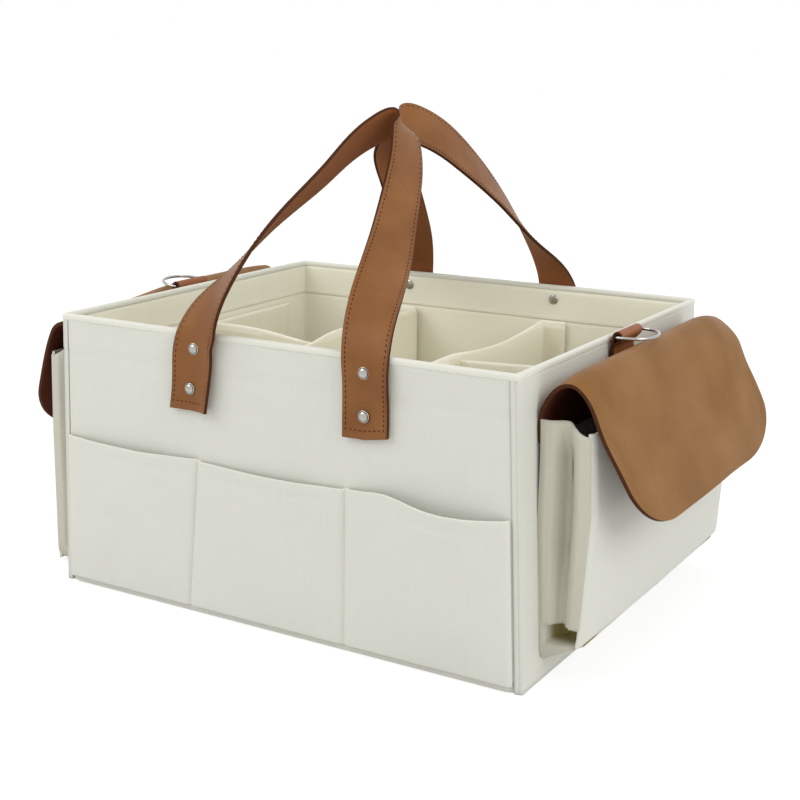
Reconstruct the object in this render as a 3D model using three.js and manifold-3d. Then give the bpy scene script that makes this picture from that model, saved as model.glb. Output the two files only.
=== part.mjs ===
// Diaper storage basket: a soft-sided caddy with board-stiffened walls, riveted strap handles that
// lean together over the middle, bellows pockets with leather flaps on both ends and five compartments.
// Millimetres, +Z up, origin at the middle of the underside, +X along the long front wall to the right,
// +Y from the front to the rear.
import * as THREE from 'three';
import { mergeVertices } from 'three/addons/utils/BufferGeometryUtils.js';
import Module from 'manifold-3d';

const wasm = await Module();
wasm.setup();

// Overall size: at the rim each end wall and each long wall has leaned in by its own lean
const BASE_LENGTH = 381;
const BASE_WIDTH = 305;
const HEIGHT = 203;
const END_LEAN = 8.7;
const SIDE_LEAN = 0.7;
const CORNER_RADIUS = 6;
const SEAM_PAST_CORNER = 1;
const GAP = 0.3;

// Wall build-up, from the outside in
const SHELL = 1.3;
const BOARD = 1.6;
const LINING = 1;
const HEM = 1.3;
const HEM_DEPTH = 27;
const RIM_DEPTH = 3;
const BASE_EDGE = 5;
const BASE_BOARD = 4;
const BASE_BOARD_PLAY = 1;

// Flat pockets on the long walls
const POCKET_CLOTH = 2.2;
const POCKET_FOOT = 3;
const POCKET_TOP = 112;
const POCKET_END_INSET = 9;
const POCKET_SEAMS = [-65, 61];
const POCKET_SLACK = 8;
const POCKET_RISE = 40;
const POCKET_SAG = 3;

// Bellows pockets on the end walls: their mouths lie above the foot of the flap's seam
const END_POCKET_HALF = 127;
const END_POCKET_FOOT = 27;
const END_POCKET_LIP = 10;
const END_POCKET_DEPTH_FOOT = 28;
const END_POCKET_DEPTH_TOP = 36;
const END_POCKET_CROWN = 2;
const GUSSET_CLOTH = 1.6;
const GUSSET_FOLD = 12;
const GUSSET_WALL_FOOT = 6;
const GUSSET_TOP_DROP = 2;

// Leather flaps over the end pockets. The seam's foot lies below the rim, and the middle of the hide
// runs through points given as (out from the wall, height over the seam's foot).
const LEATHER = 2.6;
const FLAP_SEAM_DROP = 47;
const FLAP_SEAM_WIDTH = 12;
const FLAP_ARCH = [[3.4, 17], [8.5, 27.5], [14, 35], [19.7, 39.3], [25.5, 38.6], [31.3, 32.6]];
const FLAP_HANG = [[35.7, 25], [42, 9.5], [49.7, -5], [61, -25.5], [70, -49]];
const FLAP_CORNER_WIDTH = 62;
const FLAP_CORNER_RISE = 20;

// Ring tabs and D-rings: the ring's bar and the tab's foot lie below the rim
const WIRE_RADIUS = 1.4;
const RING_HALF = 19.5;
const RING_REACH = 21;
const RING_OUT = 6.2;
const RING_DROP = 0.4;
const TAB_LEATHER = 2;
const TAB_DROP = 23.5;

// Strap handles
const STRAP = 2.5;
const STRAP_WIDTH = 35;
const STRAP_DROP = 55;
const FRONT_LEFT_X = -58.7;
const FRONT_RIGHT_X = 75.4;
const REAR_LEFT_X = -69.4;
const REAR_RIGHT_X = 65.2;
const FRONT_LEFT_TILT = 8.7;
const HANDLE_RISE = 133;
const HANDLE_LEAN = 129;

// Rivets
const RIVET_HEAD = 4.1;
const RIVET_DOME = 2.2;
const RIVET_BACK = 1.2;
const RIVET_POST = 1.6;
const UPPER_RIVET_DROP = 11.5;
const LOWER_RIVET_DROP = 39.5;

// Dividers and their hook tape: the cross dividers end below the rim, the half dividers a little lower
const DIVIDER = 3.2;
const DIVIDER_HEAD = 2.4;
const DIVIDER_DROP = 31;
const HALF_DIVIDER_STEP = 2;
const RIGHT_DIVIDER_X = 57;
const LEFT_DIVIDER_X = -60.5;
const FLANGE = 22;
const HEAD_HALF = 118;
const HOOK_TAPE = 1.2;
const HOOK_CLEARANCE = 0.7;
const HOOK_WIDTH = 16;
const HOOK_LENGTH = 90;
const HOOK_DROP = 52;
const HEAD_HOOK_HALF = 100;
const HEAD_HOOK_WIDTH = 20;
const HEAD_HOOK_DROP = 22;
const DIVIDER_EDGE_GAP = 0.5;

// Sizes worked out from the ones above
const HALF_LENGTH = BASE_LENGTH / 2;
const HALF_WIDTH = BASE_WIDTH / 2;
const LINING_INSET = SHELL + BOARD + 2 * GAP;
const WALL = LINING_INSET + LINING;
const HEM_INSET = LINING_INSET + HEM;
const WALL_FOOT = BASE_EDGE + GAP;
const WALL_TOP = HEIGHT - RIM_DEPTH - GAP;
const HEM_FOOT = HEIGHT - HEM_DEPTH;
const FLOOR = WALL_FOOT + LINING;
const BASE_BOARD_TOP = FLOOR + GAP + BASE_BOARD;
const FLAP_SEAM_FOOT = HEIGHT - FLAP_SEAM_DROP;
const END_POCKET_TOP = FLAP_SEAM_FOOT + END_POCKET_LIP;
const FLAP_HALF = END_POCKET_HALF;
const RING_HEIGHT = HEIGHT - RING_DROP;
const TAB_FOOT = HEIGHT - TAB_DROP;
const DIVIDER_FOOT = BASE_BOARD_TOP + GAP;
const DIVIDER_TOP = HEIGHT - DIVIDER_DROP;
const HALF_DIVIDER_TOP = DIVIDER_TOP - HALF_DIVIDER_STEP;
const HOOK_TOP = DIVIDER_TOP - HOOK_DROP;
const HEAD_HOOK_TOP = HALF_DIVIDER_TOP - HEAD_HOOK_DROP;
const STANDOFF = HOOK_CLEARANCE + HOOK_TAPE + GAP;
const SEAM_X = HALF_LENGTH - CORNER_RADIUS - SEAM_PAST_CORNER;

// Curve steps
const CORNER_STEPS = 4;
const BAY_STEPS = 6;
const ROUND_SIDES = 12;
const STRAP_STEPS = 44;
const FLAP_COLUMNS = 16;
const BOW_STEPS = 14;
const WIRE_SIDES = 8;

// How far the end walls and long walls lean in for each millimetre of height
const END_SLOPE = END_LEAN / HEIGHT;
const SIDE_SLOPE = SIDE_LEAN / HEIGHT;

function endFace(z) {
  return HALF_LENGTH - END_SLOPE * z;
}

function sideFace(z) {
  return HALF_WIDTH - SIDE_SLOPE * z;
}

// Inner face of a long wall at a given depth into it
function sideInner(inset, z) {
  return (HALF_WIDTH - inset) * sideFace(z) / HALF_WIDTH;
}

function endInner(inset, z) {
  return (HALF_LENGTH - inset) * endFace(z) / HALF_LENGTH;
}

// Takes an upright piece of the body to the leaning walls
function lean(geometry) {
  const position = geometry.attributes.position;
  for (let i = 0; i < position.count; i += 1) {
    const z = position.getZ(i);
    position.setX(i, position.getX(i) * endFace(z) / HALF_LENGTH);
    position.setY(i, position.getY(i) * sideFace(z) / HALF_WIDTH);
  }
  return geometry;
}

// Solids
function prism(shape, low, high) {
  const options = { depth: high - low, bevelEnabled: false, curveSegments: CORNER_STEPS };
  return new THREE.ExtrudeGeometry(shape, options).translate(0, 0, low);
}

function rounded(path, halfX, halfY, radius) {
  path.moveTo(halfX - radius, -halfY);
  path.absarc(halfX - radius, radius - halfY, radius, -Math.PI / 2, 0);
  path.absarc(halfX - radius, halfY - radius, radius, 0, Math.PI / 2);
  path.absarc(radius - halfX, halfY - radius, radius, Math.PI / 2, Math.PI);
  path.absarc(radius - halfX, radius - halfY, radius, Math.PI, 1.5 * Math.PI);
  path.closePath();
  return path;
}

function footprint(inset, path = new THREE.Shape()) {
  const radius = Math.max(CORNER_RADIUS - inset, 1);
  return rounded(path, HALF_LENGTH - inset, HALF_WIDTH - inset, radius);
}

function band(outerInset, innerInset, low, high) {
  const shape = footprint(outerInset);
  shape.holes.push(footprint(innerInset, new THREE.Path()));
  return prism(shape, low, high);
}

function plate(x0, x1, y0, y1, z0, z1) {
  const box = new THREE.BoxGeometry(x1 - x0, y1 - y0, z1 - z0);
  return box.translate((x0 + x1) / 2, (y0 + y1) / 2, (z0 + z1) / 2);
}

function indexed(points, triangles) {
  let volume = 0;
  for (let i = 0; i < triangles.length; i += 3) {
    const [a, b, c] = [points[triangles[i]], points[triangles[i + 1]], points[triangles[i + 2]]];
    volume += a.dot(b.clone().cross(c));
  }
  const faces = volume < 0 ? triangles.reverse() : triangles;
  const geometry = new THREE.BufferGeometry().setFromPoints(points);
  geometry.setIndex(faces);
  geometry.computeVertexNormals();
  return geometry;
}

// A sheet with thickness, from two grids of points that face each other
function sheet(front, back) {
  const rows = front.length;
  const columns = front[0].length;
  const triangles = [];
  const at = (side, i, j) => (side * rows + i) * columns + j;
  const quad = (a, b, c, d) => triangles.push(a, b, c, a, c, d);
  for (let i = 0; i < rows - 1; i += 1) {
    for (let j = 0; j < columns - 1; j += 1) {
      quad(at(0, i, j), at(0, i, j + 1), at(0, i + 1, j + 1), at(0, i + 1, j));
      quad(at(1, i, j), at(1, i + 1, j), at(1, i + 1, j + 1), at(1, i, j + 1));
    }
  }
  const lastRow = rows - 1;
  const lastColumn = columns - 1;
  for (let j = 0; j < lastColumn; j += 1) {
    quad(at(0, 0, j + 1), at(0, 0, j), at(1, 0, j), at(1, 0, j + 1));
    quad(at(0, lastRow, j), at(0, lastRow, j + 1), at(1, lastRow, j + 1), at(1, lastRow, j));
  }
  for (let i = 0; i < lastRow; i += 1) {
    quad(at(0, i, 0), at(0, i + 1, 0), at(1, i + 1, 0), at(1, i, 0));
    quad(at(0, i + 1, lastColumn), at(0, i, lastColumn), at(1, i, lastColumn), at(1, i + 1, lastColumn));
  }
  return indexed([...front.flat(), ...back.flat()], triangles);
}

function toSolid(geometry) {
  const bare = geometry.clone();
  bare.deleteAttribute('normal');
  bare.deleteAttribute('uv');
  const merged = mergeVertices(bare, 1e-4);
  const vertProperties = new Float32Array(merged.attributes.position.array);
  const triVerts = new Uint32Array(merged.index.array);
  return new wasm.Manifold(new wasm.Mesh({ numProp: 3, vertProperties, triVerts }));
}

function toGeometry(solid) {
  const { vertProperties, triVerts } = solid.getMesh();
  const geometry = new THREE.BufferGeometry();
  geometry.setAttribute('position', new THREE.BufferAttribute(vertProperties, 3));
  geometry.setIndex(new THREE.BufferAttribute(triVerts, 1));
  geometry.computeVertexNormals();
  return geometry;
}

function turned(geometry) {
  return geometry.clone().rotateZ(Math.PI);
}

// Materials
function material(color, roughness, metalness = 0) {
  return new THREE.MeshStandardMaterial({ color, roughness, metalness });
}

const canvas = material(0xd6d6cc, 0.85);
const liningCloth = material(0xcdc8af, 0.85);
const binding = material(0xebebdc, 0.8);
const boardCard = material(0xb9b2a0, 0.9);
const leather = material(0x96643c, 0.5);
const nickel = material(0xc8c6c0, 0.25, 1);
const hookTape = material(0xdedccf, 0.95);

const basket = new THREE.Group();

function piece(name, geometry, look) {
  const mesh = new THREE.Mesh(geometry, look);
  mesh.name = name;
  basket.add(mesh);
}

// Strap anchors and rivet places: a rivet sits on the middle line of its strap end
const TAB_BACK = sideFace(HEIGHT - STRAP_DROP) + GAP;
const TAB_FRONT = TAB_BACK + STRAP;
const HINGE_OUT = TAB_FRONT + GAP + STRAP / 2;

const anchors = [
  { name: 'front_left', side: -1, x: FRONT_LEFT_X, tilt: THREE.MathUtils.degToRad(FRONT_LEFT_TILT) },
  { name: 'front_right', side: -1, x: FRONT_RIGHT_X, tilt: 0 },
  { name: 'rear_left', side: 1, x: REAR_LEFT_X, tilt: 0 },
  { name: 'rear_right', side: 1, x: REAR_RIGHT_X, tilt: 0 },
];

const rivets = anchors.flatMap(({ name, side, x, tilt }) => [
  ['upper', UPPER_RIVET_DROP, HEM_INSET],
  ['lower', LOWER_RIVET_DROP, WALL],
].map(([level, drop, inset]) => ({
  name: `${name}_${level}_rivet`,
  side,
  x: x - drop * Math.tan(tilt),
  z: HEIGHT - drop,
  inner: sideInner(inset, HEIGHT - drop) - GAP,
})));

function rivetHole({ side, x, z }) {
  const drill = new THREE.CylinderGeometry(RIVET_POST + GAP, RIVET_POST + GAP, 4 * WALL, ROUND_SIDES);
  return toSolid(drill.translate(x, side * sideFace(z), z));
}

const rivetHoles = rivets.map(rivetHole).reduce((sum, hole) => sum.add(hole));

function drilled(geometry) {
  return toGeometry(toSolid(geometry).subtract(rivetHoles));
}

// Base: a bound bottom panel and a loose padded board on the lining's floor
piece('base_panel', lean(prism(footprint(0), 0, BASE_EDGE)), canvas);
const baseBoardShape = footprint(WALL + BASE_BOARD_PLAY);
piece('base_board', lean(prism(baseBoardShape, FLOOR + GAP, BASE_BOARD_TOP)), liningCloth);

// Outer walls: the end walls wrap round the corners to a seam on the long walls
function longWall(side) {
  const edges = [side * HALF_WIDTH, side * (HALF_WIDTH - SHELL)].sort((a, b) => a - b);
  return drilled(lean(plate(-SEAM_X, SEAM_X, ...edges, WALL_FOOT, WALL_TOP)));
}

function endWall() {
  const start = SEAM_X + GAP;
  const centreX = HALF_LENGTH - CORNER_RADIUS;
  const centreY = HALF_WIDTH - CORNER_RADIUS;
  const innerRadius = Math.max(CORNER_RADIUS - SHELL, 0.5);
  const shape = new THREE.Shape();
  shape.moveTo(start, -HALF_WIDTH);
  shape.absarc(centreX, -centreY, CORNER_RADIUS, -Math.PI / 2, 0);
  shape.absarc(centreX, centreY, CORNER_RADIUS, 0, Math.PI / 2);
  shape.lineTo(start, HALF_WIDTH);
  shape.lineTo(start, centreY + innerRadius);
  shape.absarc(centreX, centreY, innerRadius, Math.PI / 2, 0, true);
  shape.absarc(centreX, -centreY, innerRadius, 0, -Math.PI / 2, true);
  shape.lineTo(start, -centreY - innerRadius);
  shape.closePath();
  return lean(prism(shape, WALL_FOOT, WALL_TOP));
}

piece('front_wall', longWall(-1), canvas);
piece('rear_wall', longWall(1), canvas);
piece('right_wall', endWall(), canvas);
piece('left_wall', turned(endWall()), canvas);

// Stiffening boards between the shell and the lining
const boardInset = Math.max(CORNER_RADIUS, WALL);
const boardOuter = SHELL + GAP;

function longBoard(side) {
  const edges = [side * (HALF_WIDTH - boardOuter), side * (HALF_WIDTH - boardOuter - BOARD)];
  edges.sort((a, b) => a - b);
  const half = HALF_LENGTH - boardInset;
  return drilled(lean(plate(-half, half, ...edges, WALL_FOOT, WALL_TOP)));
}

function endBoard() {
  const outer = HALF_LENGTH - boardOuter;
  const half = HALF_WIDTH - boardInset;
  return lean(plate(outer - BOARD, outer, -half, half, WALL_FOOT, WALL_TOP));
}

piece('front_board', longBoard(-1), boardCard);
piece('rear_board', longBoard(1), boardCard);
piece('right_board', endBoard(), boardCard);
piece('left_board', turned(endBoard()), boardCard);

// Lining bag, hem band round the inside of the mouth and the bound rim
const liningTop = HEM_FOOT - GAP;
const liningBlock = toSolid(lean(prism(footprint(LINING_INSET), WALL_FOOT, liningTop)));
const liningRoom = toSolid(lean(prism(footprint(WALL), FLOOR, liningTop + LINING)));
piece('lining', toGeometry(liningBlock.subtract(liningRoom).subtract(rivetHoles)), liningCloth);
piece('hem_band', drilled(lean(band(LINING_INSET, HEM_INSET, HEM_FOOT, WALL_TOP))), liningCloth);
piece('rim_binding', lean(band(0, HEM_INSET, HEIGHT - RIM_DEPTH, HEIGHT)), binding);

// Flat three-bay pocket on a long wall, loose at the mouth and drawn in at its seams
function flatPocket(side) {
  const half = HALF_LENGTH - POCKET_END_INSET;
  const seams = [-half, ...POCKET_SEAMS, half];
  const columns = [];
  for (let bay = 0; bay < seams.length - 1; bay += 1) {
    for (let step = bay === 0 ? 0 : 1; step <= BAY_STEPS; step += 1) {
      const share = step / BAY_STEPS;
      const x = THREE.MathUtils.lerp(seams[bay], seams[bay + 1], share);
      columns.push({ x, swell: Math.sin(Math.PI * share) });
    }
  }
  const rise = [0, 0.25, 0.6, 1].map((share) => POCKET_FOOT + share * POCKET_RISE);
  const levels = [...rise, (rise[3] + POCKET_TOP) / 2, POCKET_TOP];
  const grid = (depth) => levels.map((level) => columns.map(({ x, swell }) => {
    const open = Math.sin(Math.PI / 2 * Math.min((level - POCKET_FOOT) / POCKET_RISE, 1));
    const z = level === POCKET_TOP ? level - POCKET_SAG * swell : level;
    return new THREE.Vector3(x, side * (HALF_WIDTH + GAP + POCKET_SLACK * swell * open + depth), z);
  }));
  return lean(sheet(grid(POCKET_CLOTH), grid(0)));
}

piece('front_pocket', flatPocket(-1), canvas);
piece('rear_pocket', flatPocket(1), canvas);

// Bellows pocket on an end wall: a front panel and one gusset strip, folded in along its middle
function endPocketDepth(z) {
  const share = (z - END_POCKET_FOOT) / (END_POCKET_TOP - END_POCKET_FOOT);
  return THREE.MathUtils.lerp(END_POCKET_DEPTH_FOOT, END_POCKET_DEPTH_TOP, share);
}

function endPocketPanel() {
  const across = [-1, -0.6, -0.2, 0.2, 0.6, 1];
  const up = [0, 0.5, 1];
  const grid = (depth) => up.map((share) => across.map((place) => {
    const z = THREE.MathUtils.lerp(END_POCKET_FOOT, END_POCKET_TOP, share);
    const crown = END_POCKET_CROWN * (1 - place * place);
    return new THREE.Vector3(endFace(z) + endPocketDepth(z) + crown - depth, place * END_POCKET_HALF, z);
  }));
  return sheet(grid(0), grid(POCKET_CLOTH));
}

function gusset() {
  const half = END_POCKET_HALF - POCKET_CLOTH;
  const top = END_POCKET_TOP - GUSSET_TOP_DROP;
  const wallTop = Math.min(top, FLAP_SEAM_FOOT - GUSSET_TOP_DROP);
  const panelBack = (z) => endFace(z) + endPocketDepth(z) - POCKET_CLOTH - GAP;
  const stations = [
    { side: -1, wall: wallTop, panel: top, lift: 0 },
    { side: -1, wall: GUSSET_WALL_FOOT, panel: END_POCKET_FOOT, lift: 1 },
    { side: 1, wall: GUSSET_WALL_FOOT, panel: END_POCKET_FOOT, lift: 1 },
    { side: 1, wall: wallTop, panel: top, lift: 0 },
  ];
  const row = ({ side, wall, panel, lift }, depth) => [0, 0.5, 1].map((across) => {
    const inward = depth + (across === 0.5 ? GUSSET_FOLD : 0);
    const z = THREE.MathUtils.lerp(wall, panel, across);
    const x = THREE.MathUtils.lerp(endFace(wall) + GAP, panelBack(panel), across);
    return new THREE.Vector3(x, side * (half - inward), z + lift * inward);
  });
  const outside = stations.map((station) => row(station, 0));
  const inside = stations.map((station) => row(station, GUSSET_CLOTH));
  return sheet(outside, inside);
}

piece('right_pocket_panel', endPocketPanel(), canvas);
piece('left_pocket_panel', turned(endPocketPanel()), canvas);
piece('right_pocket_gusset', gusset(), liningCloth);
piece('left_pocket_gusset', turned(gusset()), liningCloth);

// Leather flap: a sewn strip that arches off the wall, and the hanging cover that lifts on the fold
function onWall([out, rise]) {
  const z = FLAP_SEAM_FOOT + rise;
  return new THREE.Vector2(endFace(z) + out, z);
}

function hideNormals(points) {
  return points.map((point, i) => {
    const before = points[Math.max(i - 1, 0)];
    const after = points[Math.min(i + 1, points.length - 1)];
    const along = after.clone().sub(before).normalize();
    return new THREE.Vector2(-along.y, along.x);
  });
}

function hide(points, normals, places) {
  const grid = (offset) => points.map((point, i) => places.map((place) => {
    const rise = i === points.length - 1 ? place.rise : 0;
    const along = points[i].clone().sub(points[Math.max(i - 1, 0)]);
    const back = rise > 0 ? along.setLength(-rise) : new THREE.Vector2();
    const spot = point.clone().add(back).addScaledVector(normals[i], offset);
    return new THREE.Vector3(spot.x, place.y, spot.y);
  }));
  return sheet(grid(LEATHER / 2), grid(-LEATHER / 2));
}

const seamOut = GAP + LEATHER / 2;
const arch = [[seamOut, 0], [seamOut, FLAP_SEAM_WIDTH], ...FLAP_ARCH].map(onWall);
const hang = [FLAP_ARCH[FLAP_ARCH.length - 1], ...FLAP_HANG].map(onWall);
const wholeNormals = hideNormals([...arch, ...hang.slice(1)]);

// The cover's free edge keeps straight in the middle and turns up in an ellipse at both corners
function cornerRise(y) {
  const share = Math.max((Math.abs(y) - FLAP_HALF + FLAP_CORNER_WIDTH) / FLAP_CORNER_WIDTH, 0);
  return FLAP_CORNER_RISE * (1 - Math.sqrt(1 - share * share));
}

function flapPlaces(columns) {
  return Array.from({ length: columns + 1 }, (_, i) => {
    const y = FLAP_HALF * Math.sin(Math.PI * (i / columns - 0.5));
    return { y, rise: cornerRise(y) };
  });
}

function flapSeam() {
  const along = arch[arch.length - 1].clone().sub(arch[arch.length - 2]);
  const points = [...arch.slice(0, -1), arch[arch.length - 1].clone().sub(along.setLength(GAP / 2))];
  const places = [{ y: -FLAP_HALF, rise: 0 }, { y: FLAP_HALF, rise: 0 }];
  return hide(points, wholeNormals.slice(0, arch.length), places);
}

function flapCover() {
  const along = hang[1].clone().sub(hang[0]);
  const points = [hang[0].clone().add(along.setLength(GAP / 2)), ...hang.slice(1)];
  return hide(points, wholeNormals.slice(arch.length - 1), flapPlaces(FLAP_COLUMNS));
}

piece('right_flap_seam', flapSeam(), leather);
piece('left_flap_seam', turned(flapSeam()), leather);
piece('right_flap', flapCover(), leather);
piece('left_flap', turned(flapCover()), leather);

// Ring tab: a leather strip up the wall, rolled round the bar of the D-ring
const ringX = endFace(HEIGHT) + RING_OUT;
const rollBore = WIRE_RADIUS + GAP;
const rollRadius = rollBore + TAB_LEATHER;

function ringTab() {
  const width = 2 * (RING_HALF - WIRE_RADIUS - GAP);
  const foot = endFace(TAB_FOOT) + GAP;
  const stemTop = RING_HEIGHT - rollRadius;
  const shape = new THREE.Shape();
  shape.moveTo(foot, TAB_FOOT);
  shape.lineTo(foot + TAB_LEATHER, TAB_FOOT);
  shape.lineTo(endFace(stemTop) + GAP + TAB_LEATHER, stemTop);
  shape.absarc(ringX, RING_HEIGHT, rollRadius, -0.6 * Math.PI, Math.PI);
  shape.closePath();
  const bore = new THREE.Path();
  bore.absarc(ringX, RING_HEIGHT, rollBore, 0, 2 * Math.PI);
  shape.holes.push(bore);
  const options = { depth: width, bevelEnabled: false, curveSegments: ROUND_SIDES };
  return new THREE.ExtrudeGeometry(shape, options).rotateX(Math.PI / 2).translate(0, width / 2, 0);
}

// D-ring: a straight bar closed by a bow, drawn as circles round a closed flat path
function dRing() {
  const bow = Array.from({ length: BOW_STEPS + 1 }, (_, i) => {
    const angle = Math.PI * (i / BOW_STEPS - 0.5);
    return new THREE.Vector2(RING_REACH * Math.cos(angle), RING_HALF * Math.sin(angle));
  });
  const path = [...bow, new THREE.Vector2(0, RING_HALF / 3), new THREE.Vector2(0, -RING_HALF / 3)];
  const count = path.length;
  const points = [];
  const triangles = [];
  path.forEach((spot, i) => {
    const next = (i + 1) % count;
    const along = path[next].clone().sub(path[(i + count - 1) % count]).normalize();
    for (let k = 0; k < WIRE_SIDES; k += 1) {
      const angle = 2 * Math.PI * k / WIRE_SIDES;
      const beside = (k + 1) % WIRE_SIDES;
      const out = WIRE_RADIUS * Math.cos(angle);
      const up = WIRE_RADIUS * Math.sin(angle);
      points.push(new THREE.Vector3(spot.x + along.y * out, spot.y - along.x * out, up));
      const [a, b] = [i * WIRE_SIDES + k, i * WIRE_SIDES + beside];
      const [c, d] = [next * WIRE_SIDES + beside, next * WIRE_SIDES + k];
      triangles.push(a, b, c, a, c, d);
    }
  });
  return indexed(points, triangles).translate(ringX, 0, RING_HEIGHT);
}

piece('right_ring_tab', ringTab(), leather);
piece('left_ring_tab', turned(ringTab()), leather);
piece('right_d_ring', dRing(), nickel);
piece('left_d_ring', turned(dRing()), nickel);

// Strap ends: flat on the long wall, cut square at the foot and level just under the hinge line
function strapEnd({ side, x, tilt }) {
  const half = STRAP_WIDTH / 2;
  const along = new THREE.Vector2(-Math.sin(tilt), -Math.cos(tilt));
  const across = new THREE.Vector2(Math.cos(tilt), -Math.sin(tilt));
  const foot = (sign) => new THREE.Vector2(0, 0).addScaledVector(along, STRAP_DROP)
    .addScaledVector(across, sign * half);
  const head = (sign) => new THREE.Vector2(sign * half / Math.cos(tilt) + GAP * Math.tan(-tilt), -GAP);
  const corners = [foot(-1), foot(1), head(1), head(-1)];
  const middle = side * (TAB_BACK + STRAP / 2);
  const shape = new THREE.Shape(corners);
  const options = { depth: STRAP, bevelEnabled: false };
  const slab = new THREE.ExtrudeGeometry(shape, options).translate(0, 0, -STRAP / 2);
  return drilled(slab.rotateX(Math.PI / 2).translate(x, middle, HEIGHT));
}

anchors.forEach((anchor) => piece(`${anchor.name}_strap_end`, strapEnd(anchor), leather));

// Rivets: a domed cap outside, a post through the wall and a flat cap inside
function rivet({ side, x, z, inner }) {
  const outer = TAB_FRONT + GAP;
  const profile = [
    [0, inner - RIVET_BACK],
    [RIVET_HEAD - 0.6, inner - RIVET_BACK],
    [RIVET_HEAD, inner - RIVET_BACK / 2],
    [RIVET_HEAD, inner],
    [RIVET_POST, inner],
    [RIVET_POST, outer],
    [RIVET_HEAD, outer],
    [RIVET_HEAD, outer + RIVET_DOME * 0.3],
    [RIVET_HEAD * 0.72, outer + RIVET_DOME * 0.78],
    [0, outer + RIVET_DOME],
  ].map(([radius, y]) => new THREE.Vector2(radius, y));
  const turnedShape = new THREE.LatheGeometry(profile, ROUND_SIDES);
  return (side < 0 ? turnedShape.rotateX(Math.PI) : turnedShape).translate(x, 0, z);
}

rivets.forEach((spot) => piece(spot.name, rivet(spot), nickel));

// Handle loop: the strap leaves both hinge lines upright, turns on itself as it leans in over the
// mouth and folds tightly at the top. Each row gives the middle line as shares of the half span,
// the lean and the rise, then the direction of the strap's width.
const HANDLE_ROUTE = [
  [-1, 0, 0, 1, 0, 0],
  [-1, 0.006, 0.05, 1, 0, 0],
  [-0.87, 0.12, 0.24, 0.9, -0.42, 0.05],
  [-0.63, 0.32, 0.51, 0.72, -0.65, 0.25],
  [-0.34, 0.59, 0.76, 0.55, -0.7, 0.46],
  [-0.04, 0.85, 0.94, 0.3, -0.7, 0.64],
  [0.1, 0.97, 1, 0.05, -0.65, 0.76],
  [0.21, 0.98, 0.98, -0.15, -0.62, 0.77],
  [0.3, 0.91, 0.89, -0.3, -0.68, 0.67],
  [0.48, 0.69, 0.66, -0.6, -0.68, 0.42],
  [0.67, 0.45, 0.42, -0.84, -0.5, 0.2],
  [0.87, 0.2, 0.19, -0.95, -0.25, 0.08],
  [1, 0.006, 0.05, -1, 0, 0],
  [1, 0, 0, -1, 0, 0],
];

function handleLoop(leftX, rightX) {
  const span = (rightX - leftX) / 2;
  const middle = (rightX + leftX) / 2;
  const reach = new THREE.Vector3(span, HANDLE_LEAN, HANDLE_RISE);
  const route = HANDLE_ROUTE.map(([u, v, w]) => new THREE.Vector3(u, v, w).multiply(reach));
  const widths = HANDLE_ROUTE.map(([, , , a, b, c]) => new THREE.Vector3(a, b, c));
  const line = new THREE.CatmullRomCurve3(route);
  const spread = new THREE.CatmullRomCurve3(widths);
  const front = [];
  const back = [];
  for (let i = 0; i <= STRAP_STEPS; i += 1) {
    const share = i / STRAP_STEPS;
    const spot = line.getPoint(share);
    const along = line.getTangent(share);
    const across = spread.getPoint(share);
    across.addScaledVector(along, -across.dot(along)).setLength(STRAP_WIDTH / 2);
    const normal = across.clone().cross(along).setLength(STRAP / 2);
    front.push([-1, 1].map((sign) => spot.clone().addScaledVector(across, sign).add(normal)));
    back.push([-1, 1].map((sign) => spot.clone().addScaledVector(across, sign).sub(normal)));
  }
  return sheet(front, back).translate(middle, -HINGE_OUT, HEIGHT);
}

piece('front_handle', handleLoop(FRONT_LEFT_X, FRONT_RIGHT_X), leather);
piece('rear_handle', turned(handleLoop(-REAR_RIGHT_X, -REAR_LEFT_X)), leather);

// Cross dividers: a padded sheet with both ends folded outward along the long walls
const dividerHalf = sideInner(WALL, HEIGHT) - STANDOFF;

function crossDivider(x, outward) {
  const back = x - outward * DIVIDER / 2;
  const face = x + outward * DIVIDER / 2;
  const tip = back + outward * FLANGE;
  const inner = dividerHalf - DIVIDER;
  const corners = [
    [back, -dividerHalf], [tip, -dividerHalf], [tip, -inner], [face, -inner],
    [face, inner], [tip, inner], [tip, dividerHalf], [back, dividerHalf],
  ].map(([a, b]) => new THREE.Vector2(a, b));
  return prism(new THREE.Shape(corners), DIVIDER_FOOT, DIVIDER_TOP);
}

function flangeTape(x, outward, side) {
  const middle = x + outward * (FLANGE - DIVIDER) / 2;
  const faces = [side * (dividerHalf + GAP), side * (dividerHalf + GAP + HOOK_TAPE)].sort((a, b) => a - b);
  const ends = [middle - HOOK_WIDTH / 2, middle + HOOK_WIDTH / 2];
  return plate(...ends, ...faces, HOOK_TOP - HOOK_LENGTH, HOOK_TOP);
}

const crossDividers = [
  { name: 'left', x: LEFT_DIVIDER_X, outward: -1 },
  { name: 'right', x: RIGHT_DIVIDER_X, outward: 1 },
];
crossDividers.forEach(({ name, x, outward }) => {
  piece(`${name}_cross_divider`, crossDivider(x, outward), liningCloth);
  piece(`${name}_divider_front_hook_tape`, flangeTape(x, outward, -1), hookTape);
  piece(`${name}_divider_rear_hook_tape`, flangeTape(x, outward, 1), hookTape);
});

// Half dividers: a sheet along the middle with a wide head on the leaning end wall. The sheet keeps
// its length all the way up, so both of its edges follow the wall's lean.
function followEndWall(geometry) {
  const position = geometry.attributes.position;
  for (let i = 0; i < position.count; i += 1) {
    position.setX(i, position.getX(i) - END_SLOPE * (position.getZ(i) - DIVIDER_FOOT));
  }
  return geometry;
}

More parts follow.
